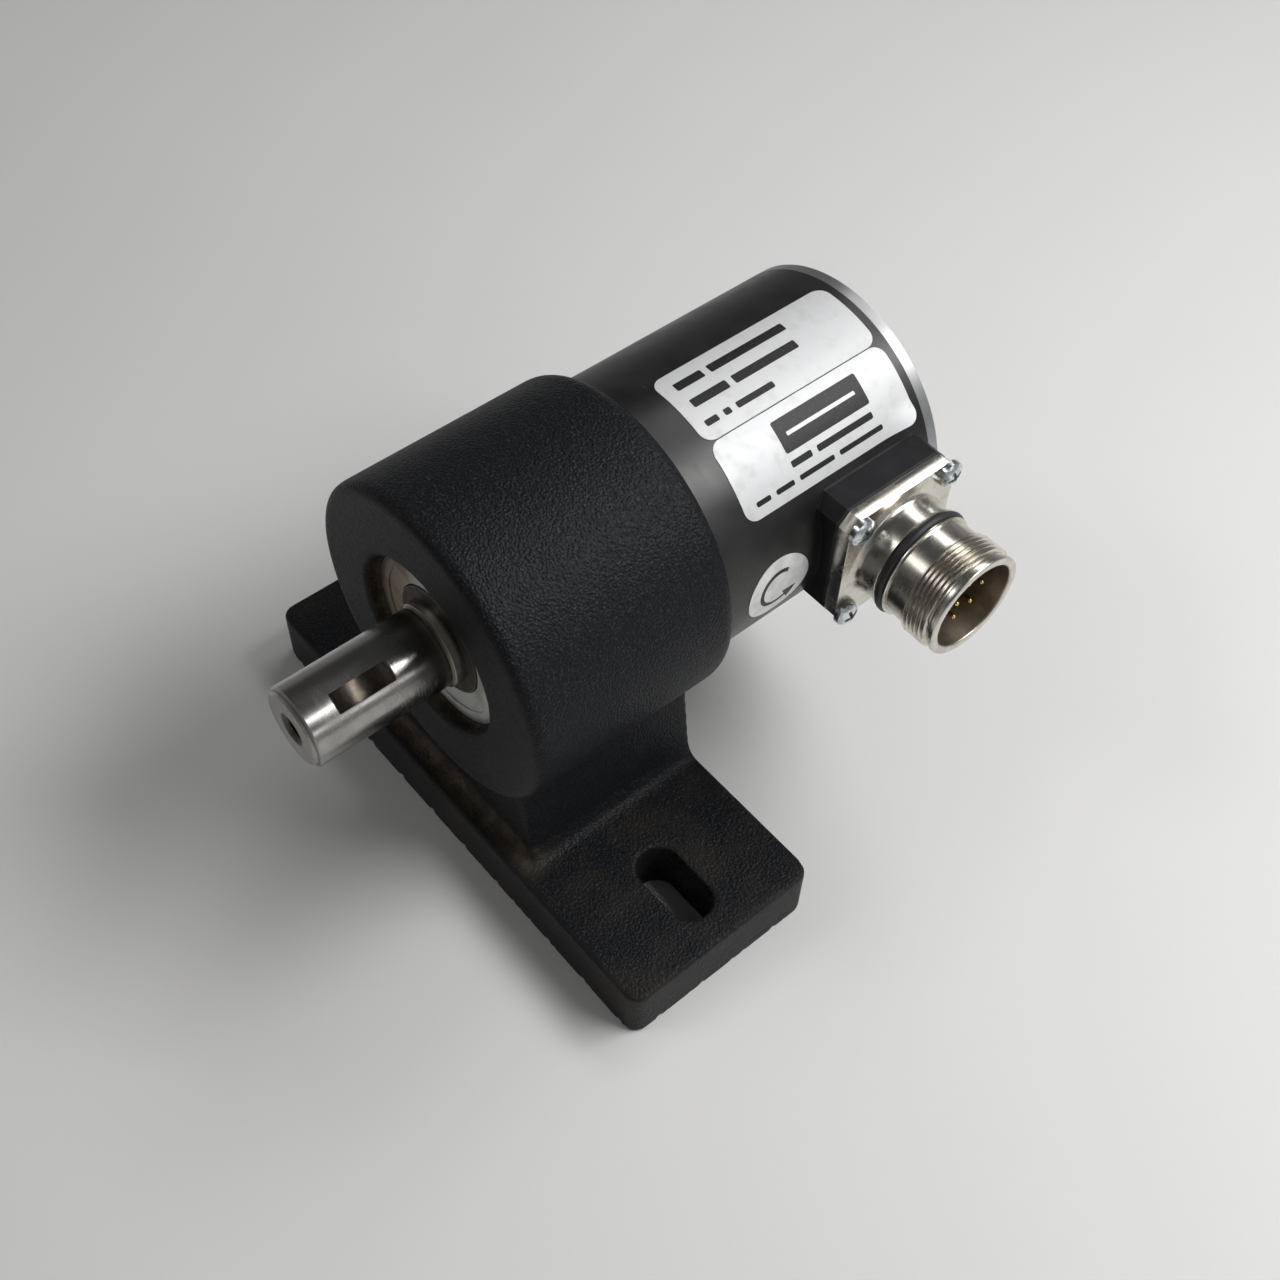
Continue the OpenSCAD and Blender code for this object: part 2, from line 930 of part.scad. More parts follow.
module body_tube() {
  color([0.05, 0.05, 0.055])
    difference() {
      on_shaft()
        ring(body_r, bore_r, tube_start, body_end);
      on_connector() {
        disc(cable_hole_r, cut_start, cut_end);
        on_flange_corners()
          disc(screw_r, cut_start, cut_end);
      }
    }
}

module body_seal() {
  color([0.03, 0.03, 0.03])
    on_shaft()
      torus(bore_r - seal_groove_depth / 2, seal_section_r, body_seal_at + seal_groove_width / 2);
}

module end_cap() {
  pocket_depth = 2;
  countersink = cap_screw_head_r - stud_r;
  color([0.70, 0.71, 0.72])
    on_shaft()
      difference() {
        union() {
          disc(bore_r, cap_inner, body_end);
          disc(body_r, body_end, cap_end);
        }
        disc(cap_pocket_r, cap_inner - 1, cap_inner + pocket_depth);
        ring(bore_r + 1, bore_r - seal_groove_depth, cap_seal_at, cap_seal_at + seal_groove_width);
        for (angle = post_angles)
          at_angle(angle)
            translate([post_circle_r, 0, 0]) {
              disc(stud_r, cap_inner - 1, cap_end + 1);
              translate([0, 0, cap_end - countersink])
                cylinder(r1 = stud_r, r2 = cap_screw_head_r, h = countersink);
            }
      }
}

module end_cap_seal() {
  color([0.03, 0.03, 0.03])
    on_shaft()
      torus(bore_r - seal_groove_depth / 2, seal_section_r, cap_seal_at + seal_groove_width / 2);
}

module end_cap_screws() {
  screw_reach = 5;
  recess_span = 2.6;
  recess_width = 0.6;
  recess_floor = cap_end - 0.9;
  countersink = cap_screw_head_r - stud_r;
  color([0.62, 0.63, 0.66])
    on_shaft()
      for (angle = post_angles)
        at_angle(angle)
          translate([post_circle_r, 0, 0])
            difference() {
              union() {
                disc(stud_r, cap_inner - screw_reach, cap_end - 1);
                translate([0, 0, cap_end - countersink])
                  cylinder(r1 = stud_r, r2 = cap_screw_head_r, h = countersink);
              }
              for (turn = [0, 90])
                rotate([0, 0, turn])
                  translate([-recess_span / 2, -recess_width / 2, recess_floor])
                    cube([recess_span, recess_width, 2]);
            }
}

// ---- connector ----

module clipped_square(size, clip) {
  half = size / 2;
  polygon([
    [half, half - clip], [half - clip, half],
    [clip - half, half], [-half, half - clip],
    [-half, clip - half], [clip - half, -half],
    [half - clip, -half], [half, clip - half]
  ]);
}

module adapter_block() {
  saddle_r = body_r + gasket_thickness;
  color([0.05, 0.05, 0.055])
    difference() {
      on_connector()
        translate([0, 0, cut_start])
          linear_extrude(height = adapter_face - cut_start)
            clipped_square(flange_size, flange_clip);
      on_shaft()
        disc(saddle_r, connector_station - flange_size, connector_station + flange_size);
      on_connector() {
        disc(socket_r, cut_start, cut_end);
        on_flange_corners()
          disc(screw_hole_r, cut_start, cut_end);
      }
    }
}

module adapter_gasket() {
  color([0.04, 0.04, 0.04])
    difference() {
      intersection() {
        on_shaft()
          ring(body_r + gasket_thickness, body_r, connector_station - flange_size,
            connector_station + flange_size);
        on_connector()
          translate([0, 0, cut_start])
            linear_extrude(height = cut_end - cut_start)
              clipped_square(flange_size, flange_clip);
      }
      on_connector() {
        disc(socket_r, cut_start, cut_end);
        on_flange_corners()
          disc(screw_hole_r, cut_start, cut_end);
      }
    }
}

module connector_gasket() {
  color([0.04, 0.04, 0.04])
    on_connector()
      difference() {
        translate([0, 0, adapter_face])
          linear_extrude(height = flange_back - adapter_face)
            clipped_square(flange_size, flange_clip);
        disc(socket_r, cut_start, cut_end);
        on_flange_corners()
          disc(screw_hole_r, cut_start, cut_end);
      }
}

module connector_shell() {
  crest_r = thread_diameter / 2;
  groove_r = o_ring_r - 1;
  color([0.76, 0.73, 0.68])
    on_connector()
      difference() {
        union() {
          translate([0, 0, flange_back])
            linear_extrude(height = flange_face - flange_back)
              clipped_square(flange_size, flange_clip);
          translate([0, 0, flange_face])
            cylinder(r1 = neck_r + neck_flare, r2 = neck_r, h = neck_flare);
          disc(neck_r, flange_face, groove_start - lip_width);
          disc(lip_r, groove_start - lip_width, groove_start);
          disc(groove_r, groove_start, groove_end);
          disc(lip_r, groove_end, groove_end + lip_width);
          disc(plain_r, groove_end + lip_width, thread_start);
          disc(crest_r, thread_start, thread_end);
          disc(plain_r, thread_end, rim_start);
          disc(rim_r, rim_start, connector_end);
        }
        disc(socket_r, flange_back - 1, connector_end + 1);
        on_flange_corners()
          disc(screw_hole_r, flange_back - 1, flange_face + 1);
      }
}

module connector_o_ring() {
  color([0.03, 0.03, 0.03])
    on_connector()
      torus(o_ring_r, o_ring_section_r, (groove_start + groove_end) / 2);
}

// Places its children at every contact; local Z is the connector's axis
module on_pins() {
  for (pin = pin_table)
    translate([pin[1] * sin(pin[0]), pin[1] * cos(pin[0]), 0])
      children();
}

module connector_insert() {
  color([0.16, 0.13, 0.11])
    on_connector()
      difference() {
        disc(socket_r, insert_back, insert_face);
        on_pins()
          disc(pin_r, insert_back - 1, insert_face + 1);
      }
}

module contact_pins() {
  color([0.85, 0.65, 0.25])
    on_connector()
      on_pins() {
        disc(pin_r, insert_back, pin_tip - pin_r);
        translate([0, 0, pin_tip - pin_r])
          sphere(r = pin_r);
        disc(pin_cup_r, pin_cup_back, insert_back);
      }
}

module flange_screws() {
  dome_r = 4.2;
  recess_span = 3.2;
  recess_width = 0.7;
  recess_turn = 20;
  recess_floor = flange_face + 1.1;
  dome_rise = dome_r - sqrt(dome_r * dome_r - screw_head_r * screw_head_r);
  color([0.66, 0.70, 0.74])
    on_connector()
      on_flange_corners()
        difference() {
          union() {
            disc(screw_r, screw_tip, flange_face + 1);
            disc(screw_head_r, flange_face, flange_face + screw_head_height - dome_rise);
            intersection() {
              translate([0, 0, flange_face + screw_head_height - dome_r])
                sphere(r = dome_r);
              disc(screw_head_r, flange_face + 0.5, flange_face + screw_head_height);
            }
          }
          for (turn = [0, 90])
            rotate([0, 0, turn + recess_turn])
              translate([-recess_span / 2, -recess_width / 2, recess_floor])
                cube([recess_span, recess_width, 3]);
        }
}

// ---- labels ----

// A rectangle of film on the body, between two angles
module label_patch(low_angle, high_angle) {
  on_shaft()
    at_angle((low_angle + high_angle) / 2)
      ring_piece(body_r + label_thickness, body_r, label_start, label_end, high_angle - low_angle);
}

module upper_label() {
  color([0.88, 0.89, 0.90])
    label_patch(upper_label_angles[0], upper_label_angles[1]);
}

module lower_label() {
  color([0.88, 0.89, 0.90])
    label_patch(lower_label_angles[0], lower_label_angles[1]);
}

module round_sticker() {
  color([0.86, 0.86, 0.85])
    on_shaft()
      intersection() {
        ring(body_r + label_thickness, body_r, sticker_station - 10, sticker_station + 10);
        at_angle(sticker_angle)
          translate([0, 0, sticker_station])
            rotate([0, 90, 0])
              disc(sticker_r, 20, 40);
      }
}

pedestal_housing();
drive_shaft();
front_bearing_outer_ring();
front_bearing_inner_ring();
front_bearing_balls();
front_bearing_cage();
front_bearing_shields();
rear_bearing_outer_ring();
rear_bearing_inner_ring();
rear_bearing_balls();
rear_bearing_cage();
rear_bearing_shields();
housing_circlip();
shaft_circlip();
coupling_drive_hub();
coupling_spider();
coupling_encoder_hub();
coupling_set_screws();
body_set_screws();
encoder_flange();
encoder_shaft();
encoder_front_bearing_outer_ring();
encoder_front_bearing_inner_ring();
encoder_front_bearing_balls();
encoder_front_bearing_cage();
encoder_rear_bearing_outer_ring();
encoder_rear_bearing_inner_ring();
encoder_rear_bearing_balls();
encoder_rear_bearing_cage();
encoder_bearing_spacer();
disc_hub();
code_disc();
disc_clamp_nut();
lamp_holder();
lamp_led();
scanning_mask();
photo_sensor();
circuit_board();
board_components();
board_posts();
cap_posts();
lead_wires();
body_tube();
body_seal();
end_cap();
end_cap_seal();
end_cap_screws();
adapter_block();
adapter_gasket();
connector_gasket();
connector_shell();
connector_o_ring();
connector_insert();
contact_pins();
flange_screws();
upper_label();
lower_label();
round_sticker();
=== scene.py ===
"""The looks of a rotary encoder on a pedestal bearing block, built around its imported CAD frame.

Lengths are in metres in the CAD's frame: +Z up from the foot, -Y towards the drive shaft's free end,
+X towards the connector. A station is a distance along +Y from the barrel's front face.
"""

import json
import math

import bmesh
import bpy
import numpy as np
from mathutils import Matrix, Vector


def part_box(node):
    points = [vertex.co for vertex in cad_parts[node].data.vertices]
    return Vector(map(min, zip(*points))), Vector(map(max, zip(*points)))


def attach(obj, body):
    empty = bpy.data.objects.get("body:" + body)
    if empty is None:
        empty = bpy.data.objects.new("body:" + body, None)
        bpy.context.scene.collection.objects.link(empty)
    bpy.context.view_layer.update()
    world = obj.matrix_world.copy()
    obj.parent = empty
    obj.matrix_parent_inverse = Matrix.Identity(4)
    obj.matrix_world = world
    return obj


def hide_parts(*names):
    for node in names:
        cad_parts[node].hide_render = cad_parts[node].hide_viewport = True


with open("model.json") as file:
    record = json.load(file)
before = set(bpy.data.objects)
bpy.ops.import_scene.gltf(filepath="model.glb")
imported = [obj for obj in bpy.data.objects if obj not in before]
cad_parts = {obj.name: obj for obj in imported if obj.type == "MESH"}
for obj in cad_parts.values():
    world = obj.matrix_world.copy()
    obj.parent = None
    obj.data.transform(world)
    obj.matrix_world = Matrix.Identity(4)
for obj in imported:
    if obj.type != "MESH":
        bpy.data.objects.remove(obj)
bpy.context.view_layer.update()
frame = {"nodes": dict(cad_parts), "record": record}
nodes = frame["nodes"]
mounts = {mount["name"]: mount for mount in frame["record"]["mounts"]}

MM = 0.001

# Places worked out from the frame
AXIS_Z = mounts["drive_shaft"]["pos_m"][2]
RECESS_DEPTH = 2.9 * MM
BARREL_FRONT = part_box("front_bearing_outer_ring")[0].y - RECESS_DEPTH
BARREL_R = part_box("pedestal_housing")[1].z - AXIS_Z
BODY_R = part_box("body_tube")[1].z - AXIS_Z
SHAFT_R = mounts["drive_shaft"]["dims"]["r_mm"] * MM
CONNECTOR_Y = mounts["connector_thread"]["pos_m"][1]
THREAD_R = mounts["connector_thread"]["dims"]["r_mm"] * MM
THREAD_LENGTH = mounts["connector_thread"]["dims"]["length_mm"] * MM
THREAD_START = mounts["connector_thread"]["pos_m"][0] - THREAD_LENGTH / 2
FLANGE_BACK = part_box("connector_shell")[0].x
CONNECTOR_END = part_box("connector_shell")[1].x
FOOT_TOP = 13.5 * MM
WEB_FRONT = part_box("pedestal_housing")[0].y + 4.4 * MM

# The camera stands where the photograph was taken from
CAMERA_AT = (0.1557, -0.1111, 0.2922)
CAMERA_HEADING = math.radians(-47.99)
CAMERA_PITCH = math.radians(-52.26)
CAMERA_ROLL = math.radians(2.29)
CAMERA_LENS = 45.95


def on_shaft(station, r, angle):
    """A point at a station, at a radius and an angle about the shaft, from +X towards +Z."""
    return Vector((r * math.cos(angle), BARREL_FRONT + station, AXIS_Z + r * math.sin(angle)))


def on_connector(along, r, angle):
    """A point at a distance along +X, at a radius and an angle about the connector's axis."""
    return Vector((along, CONNECTOR_Y + r * math.cos(angle), AXIS_Z + r * math.sin(angle)))


# ---- node trees ----


class Finish:
    """A material under construction.

    Patterns are laid out in the CAD's frame, and sizes are in metres.
    """

    def __init__(self, name, color, roughness, metallic=0.0, **values):
        self.material = bpy.data.materials.new(name)
        self.material.use_nodes = True
        self.tree = self.material.node_tree
        self.shader = self.tree.nodes["Principled BSDF"]
        self.material.diffuse_color = (*color, 1.0)
        self.shader.inputs["Base Color"].default_value = (*color, 1.0)
        self.shader.inputs["Roughness"].default_value = roughness
        self.shader.inputs["Metallic"].default_value = metallic
        self.set(**values)
        self.coordinates = self.tree.nodes.new("ShaderNodeTexCoord").outputs["Object"]

    def link(self, source, socket):
        """Feeds a socket from another node's output, a number or a colour."""
        if isinstance(source, bpy.types.NodeSocket):
            self.tree.links.new(source, socket)
        elif isinstance(source, tuple) and len(source) == 3 and socket.type == "RGBA":
            socket.default_value = (*source, 1.0)
        else:
            socket.default_value = source

    def math(self, operation, first, second=0.0, clamp=False):
        node = self.tree.nodes.new("ShaderNodeMath")
        node.operation = operation
        node.use_clamp = clamp
        self.link(first, node.inputs[0])
        self.link(second, node.inputs[1])
        return node.outputs[0]

    def times(self, *factors):
        product = factors[0]
        for factor in factors[1:]:
            product = self.math("MULTIPLY", product, factor)
        return product

    def either(self, *masks):
        strongest = masks[0]
        for mask in masks[1:]:
            strongest = self.math("MAXIMUM", strongest, mask)
        return strongest

    def axis(self, name):
        node = self.tree.nodes.new("ShaderNodeSeparateXYZ")
        self.link(self.coordinates, node.inputs[0])
        return node.outputs[name]

    def distance(self, **centre):
        """The distance from a line: centre gives the place of two of its axes, such as X=0, Z=AXIS_Z."""
        offsets = [self.math("SUBTRACT", self.axis(name), value) for name, value in centre.items()]
        squares = [self.math("MULTIPLY", offset, offset) for offset in offsets]
        return self.math("SQRT", self.math("ADD", *squares))

    def ramp(self, value, low, high):
        """0 below low and 1 above high, smooth in between. Low may be the larger."""
        node = self.tree.nodes.new("ShaderNodeMapRange")
        node.interpolation_type = "SMOOTHSTEP"
        self.link(value, node.inputs["Value"])
        if low < high:
            node.inputs["From Min"].default_value = low
            node.inputs["From Max"].default_value = high
            return node.outputs["Result"]
        node.inputs["From Min"].default_value = high
        node.inputs["From Max"].default_value = low
        return self.math("SUBTRACT", 1.0, node.outputs["Result"])

    def noise(self, size, detail=2.0, stretch=(1.0, 1.0, 1.0), offset=0.0):
        """Noise with features of about this size, longer along an axis where stretch is above 1."""
        mapping = self.tree.nodes.new("ShaderNodeMapping")
        mapping.inputs["Scale"].default_value = tuple(1.0 / s for s in stretch)
        mapping.inputs["Location"].default_value = (offset, offset, offset)
        self.link(self.coordinates, mapping.inputs["Vector"])
        node = self.tree.nodes.new("ShaderNodeTexNoise")
        node.inputs["Scale"].default_value = 1.0 / size
        node.inputs["Detail"].default_value = detail
        self.link(mapping.outputs[0], node.inputs["Vector"])
        return node.outputs["Fac"]

    def pebbles(self, size):
        """Rounded grains of about this size, high in the middle of each."""
        node = self.tree.nodes.new("ShaderNodeTexVoronoi")
        node.feature = "SMOOTH_F1"
        node.inputs["Smoothness"].default_value = 0.6
        node.inputs["Scale"].default_value = 1.0 / size
        self.link(self.coordinates, node.inputs["Vector"])
        return self.math("SUBTRACT", 1.0, node.outputs["Distance"])

    def specks(self, size, share):
        """1 on small round spots, one in each cell of this size, and 0 elsewhere."""
        node = self.tree.nodes.new("ShaderNodeTexVoronoi")
        node.inputs["Scale"].default_value = 1.0 / size
        self.link(self.coordinates, node.inputs["Vector"])
        return self.ramp(node.outputs["Distance"], share, share * 0.5)

    def mix(self, first, second, factor):
        node = self.tree.nodes.new("ShaderNodeMix")
        node.data_type = "RGBA"
        self.link(factor, node.inputs["Factor"])
        self.link(first, node.inputs[6])
        self.link(second, node.inputs[7])
        return node.outputs[2]

    def between(self, low, high, factor):
        """A number that runs from low to high as factor runs from 0 to 1."""
        return self.math("ADD", self.math("MULTIPLY", factor, high - low), low)

    def bump(self, height, depth, strength=1.0):
        """Adds relief of this depth over what is there already."""
        node = self.tree.nodes.new("ShaderNodeBump")
        node.inputs["Distance"].default_value = depth
        self.link(strength, node.inputs["Strength"])
        self.link(height, node.inputs["Height"])
        normal = self.shader.inputs["Normal"]
        if normal.is_linked:
            self.link(normal.links[0].from_socket, node.inputs["Normal"])
        self.link(node.outputs["Normal"], normal)

    def set(self, **sockets):
        """Sets or feeds the shader's sockets, named in lower case with underscores."""
        for name, source in sockets.items():
            socket = name.replace("_", " ").title().replace("Ior", "IOR")
            self.link(source, self.shader.inputs[socket])


# ---- materials ----

# How far turning lines are drawn out along X, Y and Z
ROUND_SHAFT = (60.0, 1.0, 60.0)
ROUND_CONNECTOR = (1.0, 60.0, 60.0)

def painted_casting():
    """Fine-textured black powder coat, smoother on the machined faces, with rust where water stood,
    painted shade in the bearing recess and painted glints on the grain.
    """
    coat = (0.0060, 0.0069, 0.0092)
    worn_coat = (0.0090, 0.0096, 0.0094)
    dust = (0.0235, 0.0190, 0.0150)
    rust = (0.125, 0.096, 0.058)
    # Dark brown for the bearing recess wall: partly rust, partly painted shade of the recess
    recess_rust_and_shade = (0.026, 0.018, 0.011)
    pale_speck = (0.13, 0.12, 0.10)
    # Painted highlight colour for glints on the coat's grain
    painted_glint = (0.034, 0.036, 0.042)
    f = Finish("painted_casting", coat, 0.55, specular_ior_level=0.14)
    from_axis = f.distance(X=0.0, Z=AXIS_Z)
    y, z = f.axis("Y"), f.axis("Z")
    front_face = f.ramp(y, BARREL_FRONT + 0.9 * MM, BARREL_FRONT + 0.1 * MM)
    in_recess = f.times(
        f.ramp(from_axis, 19.0 * MM, 18.3 * MM),
        f.ramp(y, BARREL_FRONT + 0.15 * MM, BARREL_FRONT + 0.8 * MM),
    )
    in_corner = f.times(
        f.ramp(f.distance(Y=WEB_FRONT, Z=FOOT_TOP + 0.5 * MM), 4.6 * MM, 0.6 * MM),
        f.ramp(f.math("ABSOLUTE", f.axis("X")), 29.0 * MM, 20.0 * MM),
    )
    under_barrel = f.times(
        f.ramp(from_axis, BARREL_R + 1.8 * MM, BARREL_R + 0.3 * MM),
        f.ramp(from_axis, BARREL_R - 0.8 * MM, BARREL_R),
        f.ramp(z, 33.0 * MM, 30.0 * MM),
        f.ramp(y, WEB_FRONT + 1.0 * MM, WEB_FRONT),
    )
    blotches = f.ramp(f.noise(3.4 * MM, detail=4.0), 0.36, 0.62)
    on_foot = f.times(
        f.ramp(z, FOOT_TOP + 6.0 * MM, FOOT_TOP - 1.0 * MM),
        f.ramp(f.noise(9.0 * MM, detail=5.0), 0.38, 0.68),
    )
    wet_places = f.either(in_recess, in_corner, f.times(under_barrel, 0.8))
    rusty = f.times(wet_places, f.between(0.45, 1.0, blotches))
    worn = f.times(f.either(front_face, 0.25), f.between(0.6, 1.0, blotches))
    color = f.mix(coat, worn_coat, worn)
    color = f.mix(color, dust, f.times(on_foot, 0.7))
    color = f.mix(color, rust, f.times(rusty, 0.8))
    # Rust and painted shade: the recess wall is darkened, partly for rust and partly for the shade
    # inside the recess
    color = f.mix(color, recess_rust_and_shade, f.times(in_recess, f.between(1.0, 0.6, blotches)))
    color = f.mix(color, pale_speck, f.times(f.specks(2.2 * MM, 0.05), 0.5))
    grain = f.pebbles(0.48 * MM)
    smooth = f.math("SUBTRACT", 1.0, f.times(front_face, 0.75))
    # Painted glints: pale spots on the grain, fewer on the front face, stand in for highlights on the
    # coat
    painted_glints = f.times(f.ramp(f.noise(0.42 * MM, detail=1.0), 0.54, 0.72), smooth)
    color = f.mix(color, painted_glint, f.times(painted_glints, 0.75))
    f.set(base_color=color, roughness=f.between(0.56, 0.40, grain))
    f.bump(f.noise(2.2 * MM), 0.05 * MM)
    f.bump(grain, 0.17 * MM, strength=smooth)
    return f.material


def ground_shaft():
    """Ground steel: fine lines, faint smudges, and a dark film in the keyseat and end hole."""
    steel = (0.40, 0.385, 0.365)
    smudge = (0.26, 0.245, 0.225)
    collar = (0.115, 0.092, 0.070)
    film = (0.100, 0.083, 0.066)
    f = Finish("ground_shaft", steel, 0.24, metallic=1.0)
    from_axis = f.distance(X=0.0, Z=AXIS_Z)
    outside = f.ramp(from_axis, SHAFT_R - 0.6 * MM, SHAFT_R - 0.12 * MM)
    on_front = f.ramp(f.axis("Y"), BARREL_FRONT - 27.2 * MM, BARREL_FRONT - 27.7 * MM)
    end_face = f.times(on_front, f.ramp(from_axis, 3.0 * MM, 3.6 * MM))
    cut = f.math("SUBTRACT", 1.0, f.either(outside, end_face))
    near_bearing = f.ramp(f.axis("Y"), BARREL_FRONT - 5.0 * MM, BARREL_FRONT - 0.5 * MM)
    on_collar = f.times(
        f.ramp(f.axis("Y"), BARREL_FRONT - 0.6 * MM, BARREL_FRONT + 0.1 * MM),
        f.ramp(from_axis, SHAFT_R + 0.42 * MM, SHAFT_R + 0.3 * MM),
    )
    lines = f.noise(0.16 * MM, detail=2.0, stretch=ROUND_SHAFT)
    smudges = f.ramp(f.noise(5.0 * MM, detail=4.0), 0.42, 0.70)
    stained = f.ramp(f.noise(1.1 * MM, detail=4.0), 0.30, 0.62)
    color = f.mix(steel, smudge, f.times(smudges, 0.45))
    color = f.mix(color, smudge, f.times(near_bearing, 0.7))
    color = f.mix(color, collar, f.times(on_collar, 0.9))
    color = f.mix(color, film, f.times(cut, f.between(0.88, 1.0, stained)))
    roughness = f.math("ADD", f.between(0.15, 0.27, lines), f.times(cut, 0.16))
    f.set(base_color=color, roughness=f.math("ADD", roughness, f.times(smudges, 0.07)))
    f.bump(lines, 0.006 * MM)
    return f.material


def stained_bearing():
    """The front bearing's outer ring and shields: dull metal, rust-stained towards the outside."""
    bright = (0.62, 0.63, 0.60)
    tan = (0.21, 0.150, 0.085)
    dark = (0.075, 0.050, 0.030)
    f = Finish("stained_bearing", bright, 0.5, metallic=0.3)
    from_axis = f.distance(X=0.0, Z=AXIS_Z)
    edge = f.ramp(from_axis, 15.9 * MM, 17.5 * MM)
    stains = f.ramp(f.noise(7.0 * MM, detail=3.0, offset=0.013), 0.50, 0.66)
    away_from_connector = f.ramp(f.axis("X"), -1.0 * MM, -12.0 * MM)
    color = f.mix(bright, tan, f.times(away_from_connector, 0.85))
    color = f.mix(color, tan, f.times(stains, 0.4))
    color = f.mix(color, dark, f.times(edge, f.between(0.6, 1.0, stains)))
    color = f.mix(color, dark, f.times(f.specks(1.1 * MM, 0.12), stains))
    f.set(base_color=color, roughness=f.between(0.38, 0.7, stains))
    f.bump(f.noise(0.5 * MM, detail=3.0), 0.02 * MM)
    return f.material


def oxidised_ring():
    """The front bearing's inner ring: brown film with a worn edge."""
    film = (0.018, 0.014, 0.011)
    thin_film = (0.042, 0.032, 0.023)
    worn_edge = (0.20, 0.16, 0.115)
    f = Finish("oxidised_ring", (0.035, 0.027, 0.020), 0.5, metallic=0.4)
    patches = f.ramp(f.noise(1.8 * MM, detail=4.0), 0.35, 0.65)
    rim = f.ramp(f.distance(X=0.0, Z=AXIS_Z), 10.75 * MM, 10.95 * MM)
    color = f.mix(film, thin_film, patches)
    f.set(
        base_color=f.mix(color, worn_edge, f.times(rim, 0.7)),
        roughness=f.between(0.38, 0.58, patches),
    )
    f.bump(patches, 0.01 * MM)
    return f.material


def machined_metal(
    name, color, roughness, lines_along=ROUND_SHAFT, line_depth=0.005 * MM, shade=0.8
):
    """Turned or ground metal: fine lines and slight differences in colour."""
    f = Finish(name, color, roughness, metallic=1.0)
    lines = f.noise(0.14 * MM, detail=2.0, stretch=lines_along)
    patches = f.ramp(f.noise(4.0 * MM, detail=4.0), 0.35, 0.68)
    darker = tuple(channel * shade for channel in color)
    f.set(
        base_color=f.mix(color, darker, patches),
        roughness=f.between(roughness - 0.05, roughness + 0.07, lines),
    )
    f.bump(lines, line_depth)
    return f.material


def end_disc_aluminium():
    """Bare aluminium, turned on its face and rim, with a dull cast and small marks."""
    f = Finish("end_disc_aluminium", (0.34, 0.345, 0.35), 0.46, metallic=0.9)
    rings = f.tree.nodes.new("ShaderNodeTexNoise")
    rings.noise_dimensions = "1D"
    rings.inputs["Scale"].default_value = 1.0 / (0.25 * MM)
    f.link(f.distance(X=0.0, Z=AXIS_Z), rings.inputs["W"])
    patches = f.ramp(f.noise(11.0 * MM, detail=4.0), 0.30, 0.75)
    marks = f.times(f.specks(3.0 * MM, 0.08), f.ramp(f.noise(7.0 * MM), 0.45, 0.6))
    color = f.mix((0.36, 0.365, 0.37), (0.30, 0.305, 0.31), patches)
    f.set(
        base_color=f.mix(color, (0.16, 0.16, 0.16), marks),
        roughness=f.between(0.36, 0.44, patches),
    )
    f.bump(rings.outputs["Fac"], 0.010 * MM)
    return f.material


def black_anodised():
    """Satin black anodised tube: fine turning lines, a little dust and a few pale scuffs."""
    f = Finish("black_anodised", (0.008, 0.008, 0.0078), 0.34, specular_ior_level=0.5)
    lines = f.noise(0.18 * MM, detail=2.0, stretch=ROUND_SHAFT)
    haze = f.ramp(f.noise(7.0 * MM, detail=5.0), 0.35, 0.72)
    scuffs = f.times(
        f.ramp(f.noise(0.7 * MM, detail=3.0, stretch=(5.0, 1.0, 5.0)), 0.70, 0.76),
        f.ramp(f.noise(11.0 * MM), 0.52, 0.62),
    )
    dust = f.times(f.specks(1.9 * MM, 0.045), 0.6)
    color = f.mix((0.0065, 0.0065, 0.0065), (0.0125, 0.012, 0.0115), haze)
    color = f.mix(color, (0.12, 0.12, 0.115), f.either(scuffs, dust))
    roughness = f.math("ADD", f.between(0.30, 0.40, lines), f.times(haze, 0.08))
    f.set(base_color=color, roughness=roughness)
    f.bump(lines, 0.004 * MM)
    return f.material


def block_coat():
    """The adapter block: matte blue-black, slightly rough, with pale dust specks."""
    f = Finish("block_coat", (0.0105, 0.011, 0.0145), 0.5, specular_ior_level=0.25)
    grain = f.noise(0.5 * MM, detail=3.0)
    haze = f.ramp(f.noise(5.0 * MM, detail=4.0), 0.4, 0.7)
    color = f.mix((0.006, 0.0065, 0.009), (0.0115, 0.0115, 0.0135), haze)
    f.set(
        base_color=f.mix(color, (0.13, 0.13, 0.13), f.times(f.specks(1.7 * MM, 0.05), 0.6)),
        roughness=f.between(0.42, 0.62, grain),
    )
    f.bump(grain, 0.03 * MM)
    return f.material


def nickel_plate():
    """Warm nickel: smooth plating over turned brass, a brownish film inside the socket."""
    nickel = (0.68, 0.645, 0.585)
    dull = (0.56, 0.525, 0.465)
    brown = (0.27, 0.220, 0.165)
    f = Finish("nickel_plate", nickel, 0.2, metallic=1.0)
    from_axis = f.distance(Y=CONNECTOR_Y, Z=AXIS_Z)
    inside = f.times(
        f.ramp(from_axis, 9.75 * MM, 9.45 * MM),
        f.ramp(f.axis("X"), CONNECTOR_END + 0.2 * MM, CONNECTOR_END - 0.5 * MM),
    )
    lines = f.noise(0.16 * MM, detail=2.0, stretch=ROUND_CONNECTOR)
    film = f.ramp(f.noise(3.5 * MM, detail=4.0), 0.38, 0.68)
    pits = f.times(f.specks(1.6 * MM, 0.06), f.ramp(f.noise(4.0 * MM), 0.48, 0.6))
    color = f.mix(nickel, dull, film)
    color = f.mix(color, brown, f.times(inside, f.between(0.7, 1.0, film)))
    color = f.mix(color, (0.10, 0.08, 0.06), f.times(pits, 0.7))
    duller = f.math("ADD", f.times(film, 0.08), f.times(inside, 0.14))
    f.set(base_color=color, roughness=f.math("ADD", f.between(0.17, 0.27, lines), duller))
    f.bump(lines, 0.003 * MM)
    return f.material


